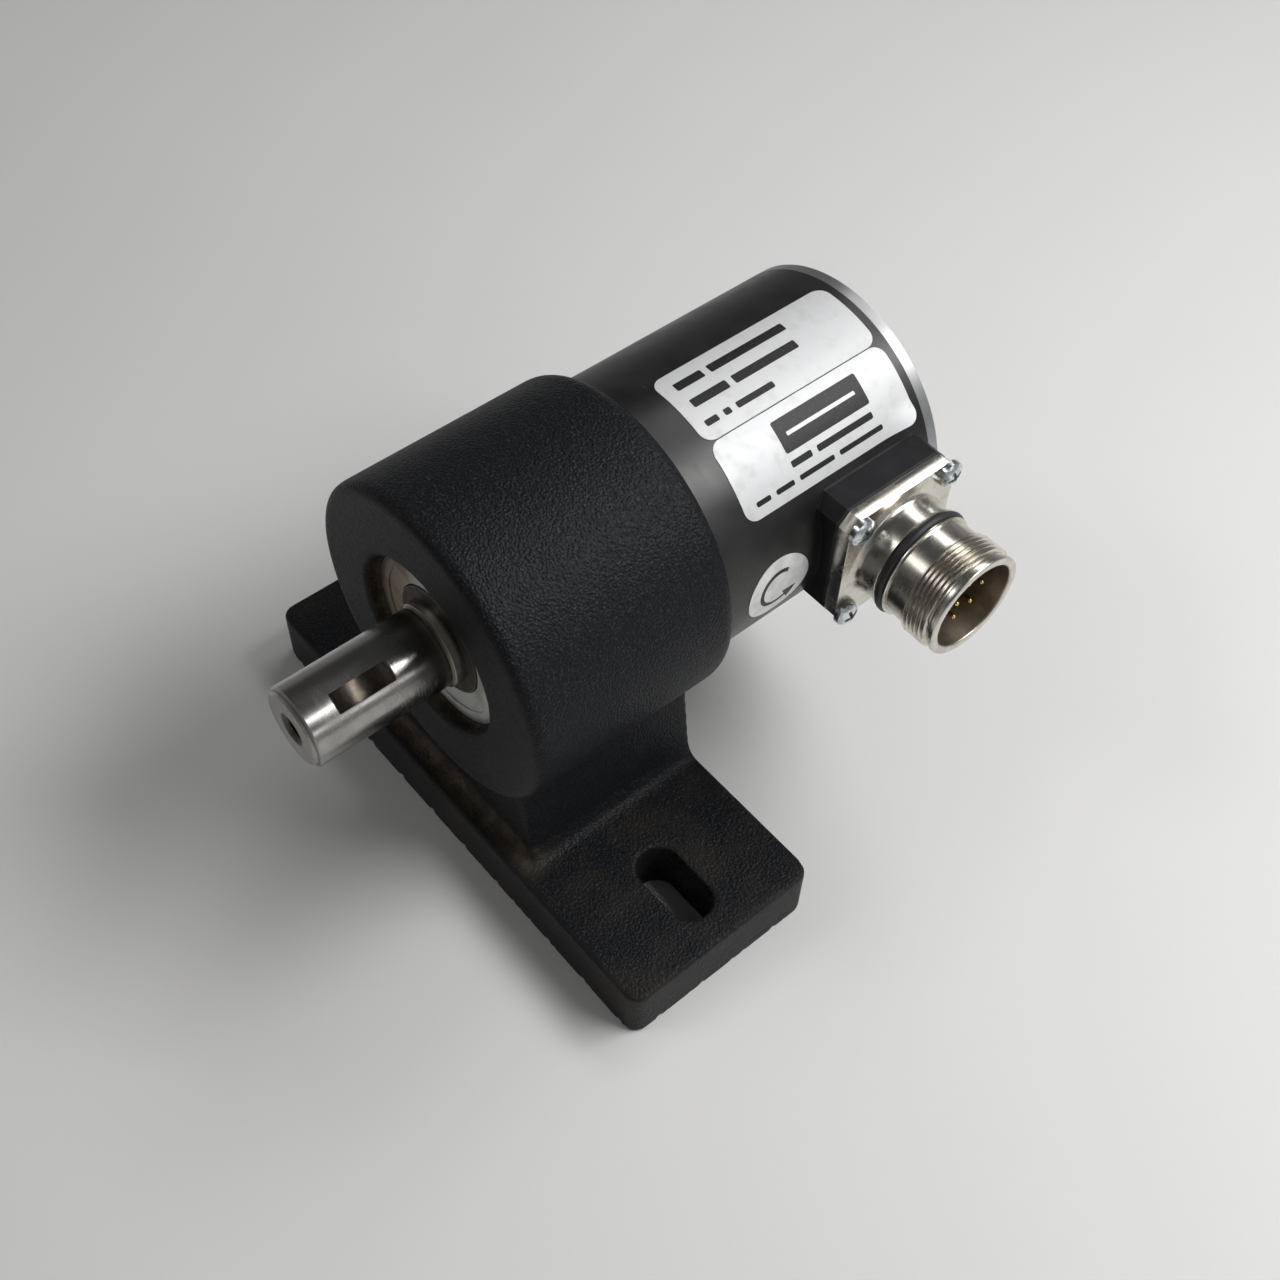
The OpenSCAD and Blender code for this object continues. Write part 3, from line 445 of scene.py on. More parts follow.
def zinc_plate():
    """Bright zinc on the screws, with dull patches."""
    f = Finish("zinc_plate", (0.66, 0.70, 0.72), 0.26, metallic=1.0)
    patches = f.ramp(f.noise(0.9 * MM, detail=4.0), 0.40, 0.65)
    f.set(
        base_color=f.mix((0.70, 0.74, 0.76), (0.46, 0.50, 0.52), patches),
        roughness=f.between(0.2, 0.38, patches),
    )
    f.bump(f.noise(0.35 * MM, detail=3.0), 0.015 * MM)
    return f.material


def moulded(name, color, roughness, grain=0.3 * MM, depth=0.01 * MM, speck=0.35, **values):
    """Rubber or plastic: a fine grain, a light bloom and dust specks."""
    f = Finish(name, color, roughness, **values)
    fine = f.noise(grain, detail=3.0)
    bloom = f.ramp(f.noise(3.0 * MM, detail=4.0), 0.40, 0.70)
    paler = tuple(channel * 0.8 + 0.012 for channel in color)
    base = f.mix(color, paler, bloom)
    base = f.mix(base, (0.25, 0.25, 0.24), f.times(f.specks(2.0 * MM, 0.04), speck))
    f.set(base_color=base, roughness=f.between(roughness - 0.05, roughness + 0.08, fine))
    f.bump(fine, depth)
    return f.material


def silver_film():
    """Metallised label film: satin, with faint handling marks and a little dirt."""
    f = Finish("silver_film", (0.66, 0.665, 0.67), 0.55, metallic=0.2)
    marks = f.ramp(f.noise(2.4 * MM, detail=5.0), 0.50, 0.72)
    dirt = f.times(f.specks(3.2 * MM, 0.05), f.ramp(f.noise(8.0 * MM), 0.46, 0.6))
    color = f.mix((0.67, 0.675, 0.685), (0.58, 0.58, 0.58), f.times(marks, 0.5))
    f.set(
        base_color=f.mix(color, (0.22, 0.20, 0.18), dirt),
        roughness=f.between(0.52, 0.62, marks),
    )
    f.bump(f.noise(1.6 * MM, detail=2.0), 0.008 * MM)
    return f.material


def printed_ink():
    """Thermal print: near black, a little worn."""
    ink_black = (0.010, 0.010, 0.010)
    f = Finish("printed_ink", ink_black, 0.5, specular_ior_level=0.3)
    wear = f.ramp(f.noise(0.45 * MM, detail=4.0), 0.62, 0.72)
    f.set(
        base_color=f.mix(ink_black, (0.12, 0.12, 0.12), f.times(wear, 0.4)),
        roughness=f.between(0.45, 0.6, wear),
    )
    return f.material


def board_laminate():
    """Green circuit board with a faint pattern of tracks."""
    f = Finish("board_laminate", (0.02, 0.13, 0.05), 0.3)
    tracks = f.tree.nodes.new("ShaderNodeTexBrick")
    tracks.inputs["Scale"].default_value = 1.0 / (9.0 * MM)
    tracks.inputs["Mortar Size"].default_value = 0.02
    f.link(f.coordinates, tracks.inputs["Vector"])
    f.set(base_color=f.mix((0.016, 0.11, 0.042), (0.03, 0.19, 0.075), tracks.outputs["Fac"]))
    f.bump(tracks.outputs["Fac"], 0.03 * MM)
    return f.material


def code_glass():
    """Clear glass disc with a ring of fine dark lines near its rim."""
    glass = (0.80, 0.88, 0.90)
    lines_a_turn = 256.0
    f = Finish("code_glass", glass, 0.05, transmission_weight=0.85)
    f.shader.inputs["IOR"].default_value = 1.5
    from_axis = f.distance(X=0.0, Z=AXIS_Z)
    turn = f.math("ARCTAN2", f.math("SUBTRACT", f.axis("Z"), AXIS_Z), f.axis("X"))
    lines = f.ramp(f.math("SINE", f.times(turn, lines_a_turn)), -0.2, 0.2)
    band = f.times(f.ramp(from_axis, 15.8 * MM, 16.0 * MM), f.ramp(from_axis, 19.2 * MM, 19.0 * MM))
    f.set(base_color=f.mix(glass, (0.03, 0.03, 0.03), f.times(lines, band)))
    return f.material


def floor_board():
    """Pale matt board with very faint unevenness."""
    f = Finish("floor_board", (0.79, 0.785, 0.775), 0.62)
    patches = f.noise(90.0 * MM, detail=3.0)
    f.set(base_color=f.mix((0.80, 0.795, 0.785), (0.77, 0.765, 0.755), patches))
    f.bump(f.noise(1.2 * MM, detail=3.0), 0.02 * MM)
    return f.material


# ---- meshes ----

SMOOTH_UP_TO = math.radians(32)
DOUBLES_WITHIN = 1e-7

def add_piece(name, vertices, faces, material, body, slot=None, sharp_angle=SMOOTH_UP_TO):
    """A mesh object in the CAD's frame, smooth except where faces meet at more than sharp_angle."""
    mesh = bpy.data.meshes.new(name)
    mesh.from_pydata([tuple(v) for v in vertices], [], faces)
    work = bmesh.new()
    work.from_mesh(mesh)
    bmesh.ops.remove_doubles(work, verts=work.verts, dist=DOUBLES_WITHIN)
    bmesh.ops.recalc_face_normals(work, faces=work.faces)
    work.to_mesh(mesh)
    work.free()
    return add_mesh(name, mesh, material, body, sharp_angle)


def add_mesh(name, mesh, material, body, sharp_angle=SMOOTH_UP_TO):
    """Puts a finished mesh in the scene, with its material, on the body that it moves with."""
    mesh.name = name
    mesh.materials.clear()
    mesh.materials.append(material)
    mesh.polygons.foreach_set("use_smooth", [True] * len(mesh.polygons))
    mesh.set_sharp_from_angle(angle=sharp_angle)
    piece = bpy.data.objects.new(name, mesh)
    bpy.context.scene.collection.objects.link(piece)
    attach(piece, body)
    return piece


def turned(place, profile, segments):
    """Vertices and faces of a closed profile of (along, radius) points, turned about an axis.

    place(along, r, angle) gives the point, such as on_connector.
    """
    vertices, faces = [], []
    count = len(profile)
    for i in range(segments):
        angle = 2 * math.pi * i / segments
        vertices += [place(along, r, angle) for along, r in profile]
    for i in range(segments):
        here, there = i * count, ((i + 1) % segments) * count
        for j in range(count):
            k = (j + 1) % count
            faces.append((here + j, here + k, there + k, there + j))
    return vertices, faces


def arc(centre, r, start, end, steps):
    """Points of an arc in (along, radius), angles in degrees from the along direction."""
    points = []
    for i in range(steps + 1):
        angle = math.radians(start + (end - start) * i / steps)
        points.append((centre[0] + r * math.cos(angle), centre[1] + r * math.sin(angle)))
    return points


def assign(material, *names):
    """Gives CAD nodes a material. Their shape stays as packed."""
    for name in names:
        mesh = nodes[name].data
        mesh.materials.clear()
        mesh.materials.append(material)


# ---- the casting ----

CASTING_VOXEL = 0.45 * MM
FOOT_HALF = (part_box("pedestal_housing")[1].x, -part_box("pedestal_housing")[0].y)
CASTING_SHARE_KEPT = 0.42


def casting_mesh():
    """The pedestal as cast and painted: its corners rounded and its inner corners filled."""
    source = bpy.data.objects.new("casting_source", nodes["pedestal_housing"].data.copy())
    bpy.context.scene.collection.objects.link(source)
    remesh = source.modifiers.new("remesh", "REMESH")
    remesh.mode = "VOXEL"
    remesh.voxel_size = CASTING_VOXEL
    mesh = evaluated_mesh(source)
    round_corners(mesh)
    source.data = mesh
    source.modifiers.clear()
    decimate = source.modifiers.new("decimate", "DECIMATE")
    decimate.ratio = CASTING_SHARE_KEPT
    mesh = evaluated_mesh(source)
    bpy.data.objects.remove(source)
    return mesh


def evaluated_mesh(piece):
    """A new mesh of a piece with its modifiers applied."""
    bpy.context.view_layer.update()
    evaluated = piece.evaluated_get(bpy.context.evaluated_depsgraph_get())
    return bpy.data.meshes.new_from_object(evaluated)


def round_corners(mesh, passes=9):
    """Averages each vertex with its neighbours, less on machined faces, then dents the foot."""
    count = len(mesh.vertices)
    points = np.zeros(count * 3)
    mesh.vertices.foreach_get("co", points)
    points = points.reshape(-1, 3)
    edges = np.zeros(len(mesh.edges) * 2, int)
    mesh.edges.foreach_get("vertices", edges)
    edges = edges.reshape(-1, 2)
    from_axis = np.hypot(points[:, 0], points[:, 2] - AXIS_Z)
    machined = from_axis < BODY_R + 0.5 * MM
    machined &= points[:, 1] > BARREL_FRONT + 0.3 * MM
    weight = np.where(machined, 0.12, 0.5)[:, None]
    neighbours = np.bincount(edges.ravel(), minlength=count)[:, None]
    for _ in range(passes):
        total = np.zeros_like(points)
        np.add.at(total, edges[:, 0], points[edges[:, 1]])
        np.add.at(total, edges[:, 1], points[edges[:, 0]])
        points += weight * (total / neighbours - points)
    points = ragged_foot(points)
    low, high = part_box("pedestal_housing")
    points = np.clip(points, np.array(low), np.array(high))
    mesh.vertices.foreach_set("co", points.ravel())
    mesh.update()


def ragged_foot(points):
    """Small dents where the casting's lower edge was fettled, each a narrow dip into the foot's side."""
    half_length, half_width = FOOT_HALF
    near_bottom = np.clip(1 - points[:, 2] / (1.8 * MM), 0, 1)
    along = points[:, 0] + points[:, 1]
    waves = np.sin(along * 610) + np.sin(along * 1130 + 1) + np.sin(along * 2290 + 2)
    dent = 0.24 * MM * np.clip(waves - 0.8, 0, None) * near_bottom
    for axis, half in ((0, half_length), (1, half_width)):
        side = np.sign(points[:, axis])
        at_edge = np.clip(1 - (half - np.abs(points[:, axis])) / (1.2 * MM), 0, 1)
        points[:, axis] -= side * dent * at_edge
    return points


painted = painted_casting()
casting = add_mesh("casting", casting_mesh(), painted, "housing", math.radians(50))
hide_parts("pedestal_housing")

# ---- the connector's shell ----

FLANGE_FACE = FLANGE_BACK + 3.0 * MM
SOCKET_R = 9.3 * MM
NECK_R = 10.8 * MM
PLAIN_R = 10.6 * MM
LIP_R = 11.2 * MM
GROOVE_R = 9.6 * MM
GROOVE_START = 40.8 * MM
GROOVE_END = 42.8 * MM
LIP_WIDTH = 0.5 * MM
RIM_R = 11.1 * MM
RIM_START = 54.4 * MM
RIM_ROUND = 0.4 * MM
NECK_FILLET = 1.6 * MM
EDGE = 0.15 * MM
THREAD_PITCH = 1.0 * MM
THREAD_ROOT_R = THREAD_R - 0.61 * THREAD_PITCH
TURN_STEPS = 96


def shell_profile():
    """The shell's section from the flange out to the rim and back through the socket."""
    fillet_centre = (FLANGE_FACE + NECK_FILLET, NECK_R + NECK_FILLET)
    outside = [
        (FLANGE_BACK, NECK_R),
        (FLANGE_FACE - EDGE, NECK_R),
        (FLANGE_FACE - EDGE, NECK_R + NECK_FILLET),
    ]
    outside += arc(fillet_centre, NECK_FILLET, 180, 270, 8)
    outside += lip(GROOVE_START - LIP_WIDTH, GROOVE_START, NECK_R, GROOVE_R)
    outside += lip(GROOVE_END, GROOVE_END + LIP_WIDTH, GROOVE_R, PLAIN_R)
    outside += [
        (THREAD_START, PLAIN_R),
        (THREAD_START + EDGE, THREAD_ROOT_R),
        (THREAD_START + THREAD_LENGTH - EDGE, THREAD_ROOT_R),
        (THREAD_START + THREAD_LENGTH, PLAIN_R),
        (RIM_START, PLAIN_R),
        (RIM_START + EDGE, RIM_R),
    ]
    round_start = CONNECTOR_END - RIM_ROUND
    outside += arc((round_start, RIM_R - RIM_ROUND), RIM_ROUND, 90, 0, 5)
    inside = arc((round_start, SOCKET_R + RIM_ROUND), RIM_ROUND, 0, -90, 5)
    inside += [(FLANGE_BACK, SOCKET_R)]
    return outside + inside


def lip(start, end, before_r, after_r):
    """A narrow raised ring with broken edges."""
    return [
        (start, before_r),
        (start, LIP_R - EDGE),
        (start + EDGE, LIP_R),
        (end - EDGE, LIP_R),
        (end, LIP_R - EDGE),
        (end, after_r),
    ]


def thread_ridge():
    """One helical ridge with tapered ends, closed on its inner side."""
    steps_a_turn = 72
    first = THREAD_START + 0.55 * THREAD_PITCH
    last = THREAD_START + THREAD_LENGTH - 0.55 * THREAD_PITCH
    turns = (last - first) / THREAD_PITCH
    steps = int(turns * steps_a_turn)
    vertices, faces = [], []
    half_root, half_crest = 0.44 * THREAD_PITCH, 0.07 * THREAD_PITCH
    sunk_r = THREAD_ROOT_R - 0.1 * MM
    for i in range(steps + 1):
        angle = 2 * math.pi * turns * i / steps
        middle = first + (last - first) * i / steps
        taper = min(1.0, 4 * i / steps_a_turn, 4 * (steps - i) / steps_a_turn)
        crest_r = THREAD_ROOT_R + (THREAD_R - THREAD_ROOT_R) * taper
        section = [
            (-half_root, sunk_r),
            (-half_root, THREAD_ROOT_R),
            (-half_crest, crest_r),
            (half_crest, crest_r),
            (half_root, THREAD_ROOT_R),
            (half_root, sunk_r),
        ]
        vertices += [on_connector(middle + offset, r, angle) for offset, r in section]
    count = len(section)
    for i in range(steps):
        here, there = i * count, (i + 1) * count
        for j in range(count):
            k = (j + 1) % count
            faces.append((here + j, here + k, there + k, there + j))
    faces.append(tuple(range(count)))
    faces.append(tuple(range(steps * count, (steps + 1) * count)))
    return vertices, faces


def flange_plate():
    """The square flange with clipped corners, four screw holes and broken edges.

    It is a filled outline made solid, drawn flat and then stood up against the adapter block.
    """
    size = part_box("connector_shell")[1].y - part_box("connector_shell")[0].y
    half, clip = size / 2 - EDGE, 2.4 * MM
    hole_r, spacing = 1.6 * MM, 23.0 * MM
    curve = bpy.data.curves.new("flange_outline", "CURVE")
    curve.dimensions = "2D"
    curve.fill_mode = "BOTH"
    curve.extrude = (FLANGE_FACE - FLANGE_BACK) / 2 - EDGE
    curve.bevel_depth = EDGE
    curve.bevel_resolution = 1
    short = half - clip
    corners = [
        (half, short),
        (short, half),
        (-short, half),
        (-half, short),
        (-half, -short),
        (-short, -half),
        (short, -half),
        (half, -short),
    ]
    rings = [corners, circle(0, 0, NECK_R + EDGE, 96)]
    for a in (-1, 1):
        for b in (-1, 1):
            rings.append(circle(a * spacing / 2, b * spacing / 2, hole_r + EDGE, 32))
    for ring in rings:
        spline = curve.splines.new("POLY")
        spline.points.add(len(ring) - 1)
        for point, (x, y) in zip(spline.points, ring):
            point.co = (x, y, 0, 1)
        spline.use_cyclic_u = True
    source = bpy.data.objects.new("flange_outline", curve)
    bpy.context.scene.collection.objects.link(source)
    mesh = evaluated_mesh(source)
    bpy.data.objects.remove(source)
    middle = (FLANGE_BACK + FLANGE_FACE) / 2
    turn = Matrix(((0, 0, 1, middle), (1, 0, 0, CONNECTOR_Y), (0, 1, 0, AXIS_Z), (0, 0, 0, 1)))
    mesh.transform(turn)
    return mesh


def circle(x, y, r, steps):
    angles = [2 * math.pi * i / steps for i in range(steps)]
    return [(x + r * math.cos(angle), y + r * math.sin(angle)) for angle in angles]


nickel = nickel_plate()
barrel = turned(on_connector, shell_profile(), TURN_STEPS)
shell = add_piece("connector_barrel", *barrel, nickel, "housing", "nickel_plate")
add_piece("connector_thread", *thread_ridge(), nickel, "housing", "nickel_plate")
flange = flange_plate()
add_mesh("connector_flange", flange, nickel, "housing", math.radians(25))
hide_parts("connector_shell")

# ---- labels ----

FILM = 0.12 * MM
INK = 0.02 * MM
LABEL_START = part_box("upper_label")[0].y - BARREL_FRONT
LABEL_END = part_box("upper_label")[1].y - BARREL_FRONT
UPPER_ANGLES = (65.0, 97.0)
LOWER_ANGLES = (32.5, 64.5)
LABEL_CORNER_R = 2.6 * MM
CURL_LENGTH = 8.0 * MM
CURL_ANGLE = 9.0
CURL_HEIGHT = 1.5 * MM


def layer_faces(columns, stride, layer, closed=False):
    """Faces of two equal grids, the second one layer further on in the list of vertices."""
    faces = []
    for i in range(columns if closed else columns - 1):
        for j in range(stride - 1):
            a, b = i * stride + j, ((i + 1) % columns) * stride + j
            faces.append((a, a + 1, b + 1, b))
            faces.append((layer + a, layer + b, layer + b + 1, layer + a + 1))
    return faces


def wrapped(name, outline, lift, thickness, material, slot, curl=None):
    """A thin patch on the body, at a lift off it.

    outline is what rounded_patch() gives, and curl(station, angle) a further lift.
    """
    columns, rows = outline
    vertices = []
    for level in (lift, lift + thickness):
        for angle, low, high in columns:
            for j in range(rows + 1):
                station = low + (high - low) * j / rows
                extra = curl(station, angle) if curl else 0.0
                vertices.append(on_shaft(station, BODY_R + level + extra, math.radians(angle)))
    stride = rows + 1
    layer = len(columns) * stride
    faces = layer_faces(len(columns), stride, layer)
    edge = [i * stride for i in range(len(columns))]
    edge += [(len(columns) - 1) * stride + j for j in range(1, stride)]
    edge += [i * stride + rows for i in range(len(columns) - 2, -1, -1)]
    edge += list(range(rows - 1, 0, -1))
    faces += [(a, b, layer + b, layer + a) for a, b in zip(edge, edge[1:] + edge[:1])]
    return add_piece(name, vertices, faces, material, "housing", slot)


def rounded_patch(low_angle, high_angle, start, end, corner_r, rows=1):
    """A rectangle with round corners, for wrapped().

    It is a list of columns, as angle, low station and high station, and the number of rows.
    """
    widest_step = 1.5
    corner_steps = 8
    corner_angle = math.degrees(corner_r / BODY_R)
    columns = []
    for i in range(corner_steps):
        turn = math.radians(90 * i / corner_steps)
        inset = corner_r * (1 - math.sin(turn))
        columns.append((low_angle + corner_angle * (1 - math.cos(turn)), start + inset, end - inset))
    run = high_angle - low_angle - 2 * corner_angle
    steps = max(1, math.ceil(run / widest_step))
    for i in range(steps + 1):
        columns.append((low_angle + corner_angle + run * i / steps, start, end))
    for angle, low, high in columns[:corner_steps][::-1]:
        columns.append((low_angle + high_angle - angle, low, high))
    return columns, rows


def corner_curl(station, angle):
    """The lower label's far corner stands off the body."""
    along = max(0.0, station - (LABEL_END - CURL_LENGTH)) / CURL_LENGTH
    around = max(0.0, (LOWER_ANGLES[0] + CURL_ANGLE) - angle) / CURL_ANGLE
    return CURL_HEIGHT * (along * around) ** 1.3


silver = silver_film()
ink = printed_ink()
upper_outline = rounded_patch(*UPPER_ANGLES, LABEL_START, LABEL_END, LABEL_CORNER_R, 4)
lower_outline = rounded_patch(*LOWER_ANGLES, LABEL_START, LABEL_END, LABEL_CORNER_R, 40)
upper = wrapped("upper_label_film", upper_outline, 0.0, FILM, silver, "silver_label")
lower = wrapped("lower_label_film", lower_outline, 0.0, FILM, silver, "silver_label", corner_curl)
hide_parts("upper_label")
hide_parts("lower_label")

# Plain bars stand for the printing. A row has its name, the angle of its middle, its height,
# where it starts, and the lengths of its bars in millimetres.
PRINT_GAP = 1.4 * MM
BAR_CORNER_R = 0.35 * MM
PRINTED_ROWS = [
    ("upper_row_a", 89.5, 1.9 * MM, 3.0 * MM, [6.5, 18.5]),
    ("upper_row_b", 80.5, 1.9 * MM, 3.0 * MM, [8.5, 15.5]),
    ("upper_row_c", 71.5, 1.3 * MM, 2.4 * MM, [3.0, 1.6, 9.0]),
    ("lower_row_a", 43.4, 1.3 * MM, 13.0 * MM, [5.0, 14.0]),
    ("lower_row_b", 37.6, 1.0 * MM, 3.0 * MM, [3.4, 4.4, 8.6, 11.0]),
]
for name, middle, height, start, lengths in PRINTED_ROWS:
    half_angle = math.degrees(height / 2 / BODY_R)
    station = LABEL_START + start
    for i, length in enumerate(lengths):
        end = station + length * MM
        bar = rounded_patch(
            middle - half_angle, middle + half_angle, station, end, BAR_CORNER_R
        )
        wrapped(f"{name}_{i}", bar, FILM, INK, ink, "silver_label")
        station += length * MM + PRINT_GAP

# A plain dark block with one pale line in it
BLOCK_ANGLES = (47.5, 60.0)
BLOCK_START = LABEL_START + 13.0 * MM
BLOCK_END = LABEL_END - 8.5 * MM
block = rounded_patch(*BLOCK_ANGLES, BLOCK_START, BLOCK_END, 0.5 * MM)
wrapped("printed_block", block, FILM, INK, ink, "silver_label")
LINE_ANGLES = (BLOCK_ANGLES[0] + 5.5, BLOCK_ANGLES[0] + 7.0)
line = rounded_patch(*LINE_ANGLES, BLOCK_START + 2.0 * MM, BLOCK_END - 2.0 * MM, 0.2 * MM)
wrapped("printed_block_line", line, FILM + INK, INK, silver, "silver_label")

# ---- round sticker with a rotation arrow ----

STICKER_R = (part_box("round_sticker")[1].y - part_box("round_sticker")[0].y) / 2
STICKER_STATION = (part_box("round_sticker")[1].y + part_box("round_sticker")[0].y) / 2 - BARREL_FRONT
STICKER_ANGLE = math.radians(-1.5)
ARROW_INNER_R = 3.7 * MM
ARROW_OUTER_R = 4.6 * MM


def on_sticker(along, around, lift):
    """A point on the body, measured from the sticker's centre."""
    return on_shaft(STICKER_STATION + along, BODY_R + lift, STICKER_ANGLE + around / BODY_R)


def polar_patch(name, inner_r, outer_r, start, end, lift, thickness, material, steps=72):
    """A ring, or part of one, laid on the body round the sticker's centre.

    With an inner radius of 0 it is a disc, with a hole too small to see.
    """
    rings = 6 if inner_r == 0 else 2
    inner_r = max(inner_r, 0.02 * MM)
    vertices = []
    closed = end - start == 360
    columns = steps if closed else steps + 1
    for level in (lift, lift + thickness):
        for i in range(columns):
            turn = math.radians(start + (end - start) * i / steps)
            for j in range(rings + 1):
                r = inner_r + (outer_r - inner_r) * j / rings
                vertices.append(on_sticker(r * math.cos(turn), r * math.sin(turn), level))
    stride = rings + 1
    layer = columns * stride
    faces = layer_faces(columns, stride, layer, closed)
    for i in range(columns if closed else columns - 1):
        for j in (0, rings):
            a, b = i * stride + j, ((i + 1) % columns) * stride + j
            faces.append((a, b, layer + b, layer + a))
    if not closed:
        for a in (0, (columns - 1) * stride):
            for j in range(rings):
                faces.append((a + j, a + j + 1, layer + a + j + 1, layer + a + j))
    return add_piece(name, vertices, faces, material, "housing", "white_sticker")


def arrow_head(name, r, turn, length, half_width, lift, thickness, rows=10, columns=8):
    """A triangle at the end of an arc, pointing the way the arc goes and bent to the body."""
    blunt_tip = 0.02
    angle = math.radians(turn)
    outward = Vector((math.cos(angle), math.sin(angle)))
    forward = Vector((-math.sin(angle), math.cos(angle)))
    vertices = []
    for level in (lift, lift + thickness):
        for i in range(rows + 1):
            half = half_width * max(1 - i / rows, blunt_tip)
            for j in range(columns + 1):
                place = outward * (r + half * (2 * j / columns - 1)) + forward * (length * i / rows)
                vertices.append(on_sticker(place.x, place.y, level))
    stride = columns + 1
    layer = (rows + 1) * stride
    faces = layer_faces(rows + 1, stride, layer)
    rim = list(range(columns))
    rim += [i * stride + columns for i in range(rows)]
    rim += [rows * stride + j for j in range(columns, 0, -1)]
    rim += [i * stride for i in range(rows, 0, -1)]
    faces += [(a, layer + a, layer + b, b) for a, b in zip(rim, rim[1:] + rim[:1])]
    return add_piece(name, vertices, faces, ink, "housing", "white_sticker")


white = moulded(
    "white_film", (0.74, 0.74, 0.73), 0.42, grain=0.8 * MM, depth=0.004 * MM, speck=0.2
)
film_r = STICKER_R - 0.05 * MM
sticker = polar_patch("round_sticker_film", 0.0, film_r, 0, 360, 0.0, FILM, white)
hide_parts("round_sticker")
polar_patch("rotation_arrow_arc", ARROW_INNER_R, ARROW_OUTER_R, 60, 300, FILM, INK, ink)
arrow_r = (ARROW_INNER_R + ARROW_OUTER_R) / 2
arrow_head("rotation_arrow_head", arrow_r, 299, 3.0 * MM, 1.8 * MM, FILM, INK)

# ---- CAD nodes that keep their shape ----

bright_steel = machined_metal("bright_steel", (0.58, 0.57, 0.55), 0.26)
machined_aluminium = machined_metal("machined_aluminium", (0.62, 0.63, 0.65), 0.32)
polished = machined_metal(
    "polished_steel", (0.78, 0.78, 0.79), 0.1, line_depth=0.001 * MM, shade=0.95
)
brass = machined_metal("turned_brass", (0.66, 0.50, 0.24), 0.28)
cage_brass = machined_metal("cage_brass", (0.58, 0.45, 0.22), 0.35)
black_oxide = machined_metal("black_oxide", (0.07, 0.07, 0.075), 0.4)
gold = machined_metal("gold_plate", (0.83, 0.60, 0.22), 0.2, ROUND_CONNECTOR, 0.001 * MM)
rubber = moulded("seal_rubber", (0.012, 0.012, 0.012), 0.5)
black_plastic = moulded("black_moulding", (0.022, 0.022, 0.024), 0.45)

assign(ground_shaft(), "drive_shaft")
assign(stained_bearing(), "front_bearing_outer_ring", "front_bearing_shields")
assign(oxidised_ring(), "front_bearing_inner_ring")
assign(
    bright_steel,
    "rear_bearing_outer_ring",
    "rear_bearing_inner_ring",
    "rear_bearing_shields",
    "encoder_front_bearing_outer_ring",
    "encoder_front_bearing_inner_ring",
    "encoder_rear_bearing_outer_ring",
    "encoder_rear_bearing_inner_ring",
    "encoder_bearing_spacer",
    "encoder_shaft",
)
for bearing in ("front_bearing", "rear_bearing", "encoder_front_bearing", "encoder_rear_bearing"):
    assign(polished, f"{bearing}_balls")
    assign(cage_brass, f"{bearing}_cage")
assign(black_oxide, "housing_circlip", "shaft_circlip", "coupling_set_screws", "body_set_screws")
assign(machined_aluminium, "coupling_drive_hub", "coupling_encoder_hub", "encoder_flange")
assign(moulded("spider_rubber", (0.42, 0.035, 0.025), 0.5), "coupling_spider")
assign(brass, "disc_hub", "disc_clamp_nut", "board_posts", "cap_posts")
assign(code_glass(), "code_disc", "scanning_mask")
assign(black_plastic, "lamp_holder", "photo_sensor", "board_components")
clear_epoxy = moulded(
    "clear_epoxy",
    (0.80, 0.82, 0.84),
    0.12,
    depth=0.002 * MM,
    speck=0.0,
    transmission_weight=0.6,
)
assign(clear_epoxy, "lamp_led")
assign(board_laminate(), "circuit_board")
assign(moulded("wire_insulation", (0.66, 0.63, 0.56), 0.45), "lead_wires")
assign(black_anodised(), "body_tube")
assign(block_coat(), "adapter_block")
assign(rubber, "body_seal", "end_cap_seal", "adapter_gasket")
assign(rubber, "connector_gasket", "connector_o_ring")
assign(end_disc_aluminium(), "end_cap")
assign(zinc_plate(), "end_cap_screws", "flange_screws")
assign(moulded("insert_plastic", (0.055, 0.042, 0.034), 0.5), "connector_insert")
assign(gold, "contact_pins")

# ---- floor, light and camera ----


def add_floor():
    """A wide flat board under the foot."""
    size = 3.0
    mesh = bpy.data.meshes.new("floor")
    corners = [(-size, -size, 0), (size, -size, 0), (size, size, 0), (-size, size, 0)]
    mesh.from_pydata(corners, [], [(0, 1, 2, 3)])
    mesh.materials.append(floor_board())
    floor = bpy.data.objects.new("floor", mesh)
    bpy.context.scene.collection.objects.link(floor)


def add_light(name, place, aim, size, power, color):
    """A rectangular lamp at a place, turned to an aim, with its power in watts."""
    light = bpy.data.lights.new(name, "AREA")
    light.shape = "RECTANGLE"
    light.size, light.size_y = size
    light.energy = power
    light.color = color
    lamp = bpy.data.objects.new(name, light)
    bpy.context.scene.collection.objects.link(lamp)
    lamp.location = place
    lamp.rotation_euler = (Vector(aim) - Vector(place)).to_track_quat("-Z", "Y").to_euler()


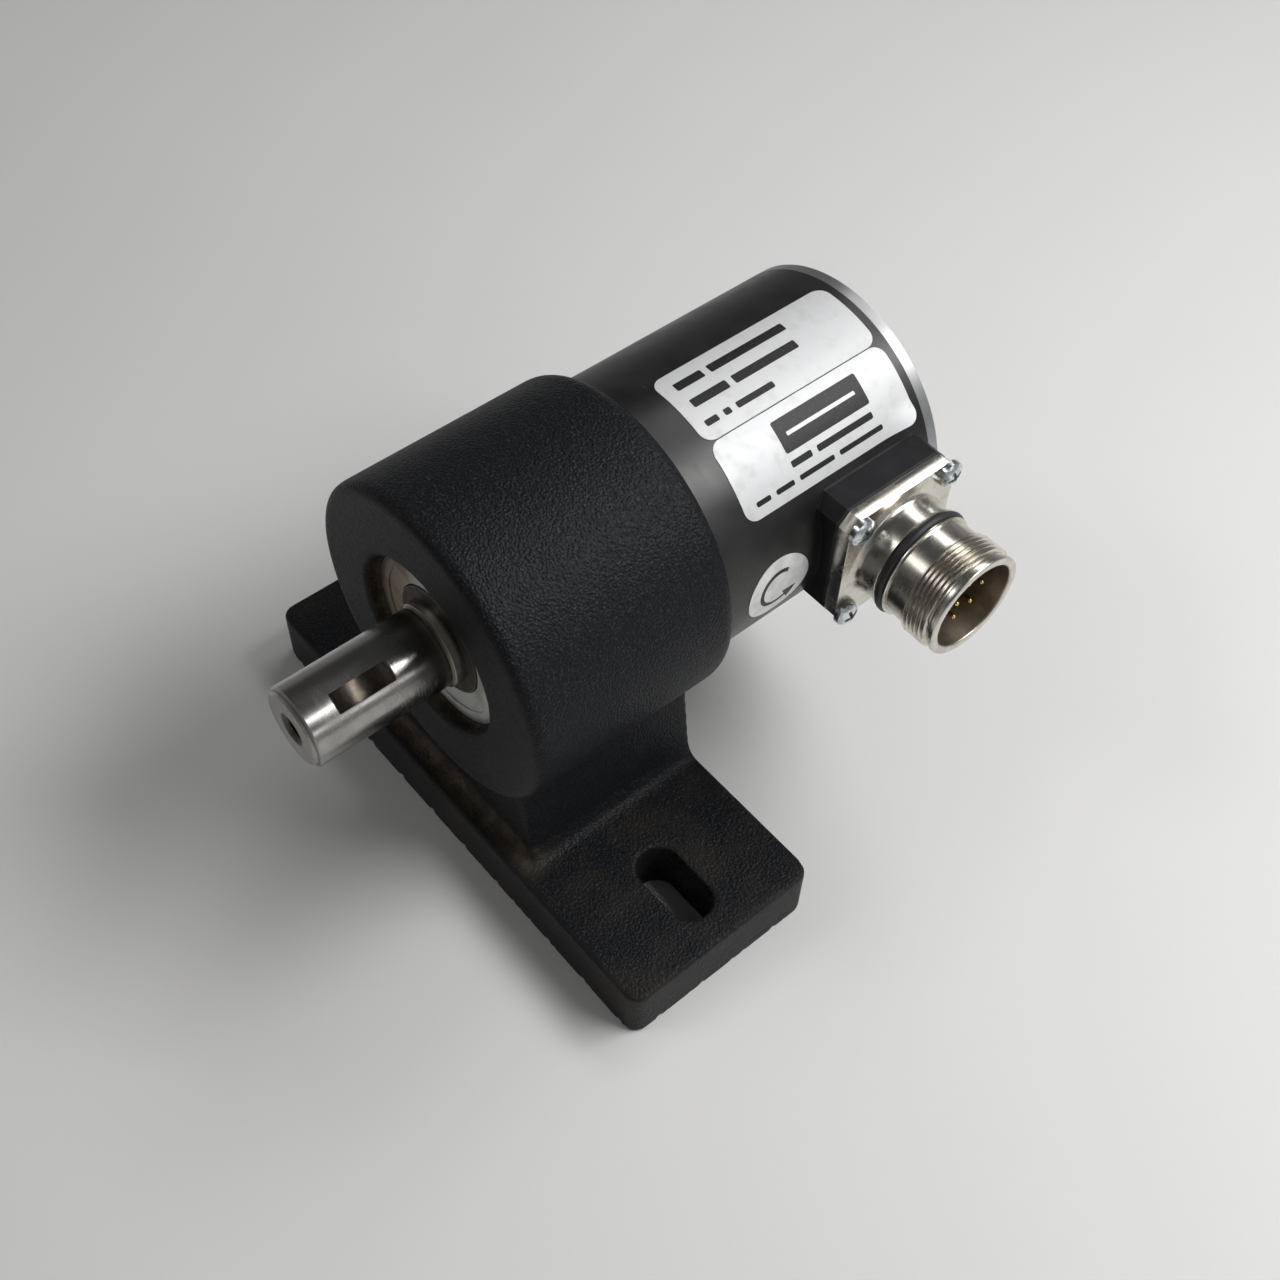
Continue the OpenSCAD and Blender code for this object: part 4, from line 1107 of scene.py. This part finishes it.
def add_world():
    """A pale horizon that fades to a dim sky, for the reflections in the bare metal."""
    sky_starts = 0.45
    horizon_strength = 0.34
    sky_strength = 0.065
    world = bpy.data.worlds.new("studio")
    world.use_nodes = True
    tree = world.node_tree
    background = tree.nodes["Background"]
    background.inputs["Color"].default_value = (0.96, 0.97, 1.0, 1.0)
    direction = tree.nodes.new("ShaderNodeTexCoord")
    height = tree.nodes.new("ShaderNodeSeparateXYZ")
    strength = tree.nodes.new("ShaderNodeMapRange")
    strength.inputs["From Max"].default_value = sky_starts
    strength.inputs["To Min"].default_value = horizon_strength
    strength.inputs["To Max"].default_value = sky_strength
    tree.links.new(direction.outputs["Generated"], height.inputs[0])
    tree.links.new(height.outputs["Z"], strength.inputs["Value"])
    tree.links.new(strength.outputs["Result"], background.inputs["Strength"])
    bpy.context.scene.world = world


def add_camera():
    """The photograph's camera, with its heading taken clockwise from +Y."""
    data = bpy.data.cameras.new("camera")
    data.lens = CAMERA_LENS
    data.clip_start, data.clip_end = 0.01, 20.0
    camera = bpy.data.objects.new("camera", data)
    bpy.context.scene.collection.objects.link(camera)
    turn = (
        Matrix.Rotation(-CAMERA_HEADING, 4, "Z")
        @ Matrix.Rotation(math.pi / 2 + CAMERA_PITCH, 4, "X")
        @ Matrix.Rotation(CAMERA_ROLL, 4, "Z")
    )
    camera.matrix_world = Matrix.Translation(CAMERA_AT) @ turn
    bpy.context.scene.camera = camera


add_floor()
add_world()
add_light("key", (0.33, 0.34, 0.56), (0.0, 0.02, 0.03), (0.46, 0.26), 3.8, (1.0, 1.0, 0.99))
add_light("back", (-0.16, 0.62, 0.90), (0.0, 0.0, 0.04), (0.5, 0.30), 1.8, (1.0, 1.0, 1.0))
add_light("low_side", (0.95, 0.22, 0.36), (0.0, 0.0, 0.05), (0.6, 0.14), 0.5, (0.97, 0.98, 1.0))
add_light("fill", (-0.80, -1.10, 1.40), (0.0, 0.0, 0.03), (0.60, 0.40), 3.6, (1.0, 0.99, 0.96))
add_camera()
bpy.context.scene.view_settings.view_transform = "Standard"
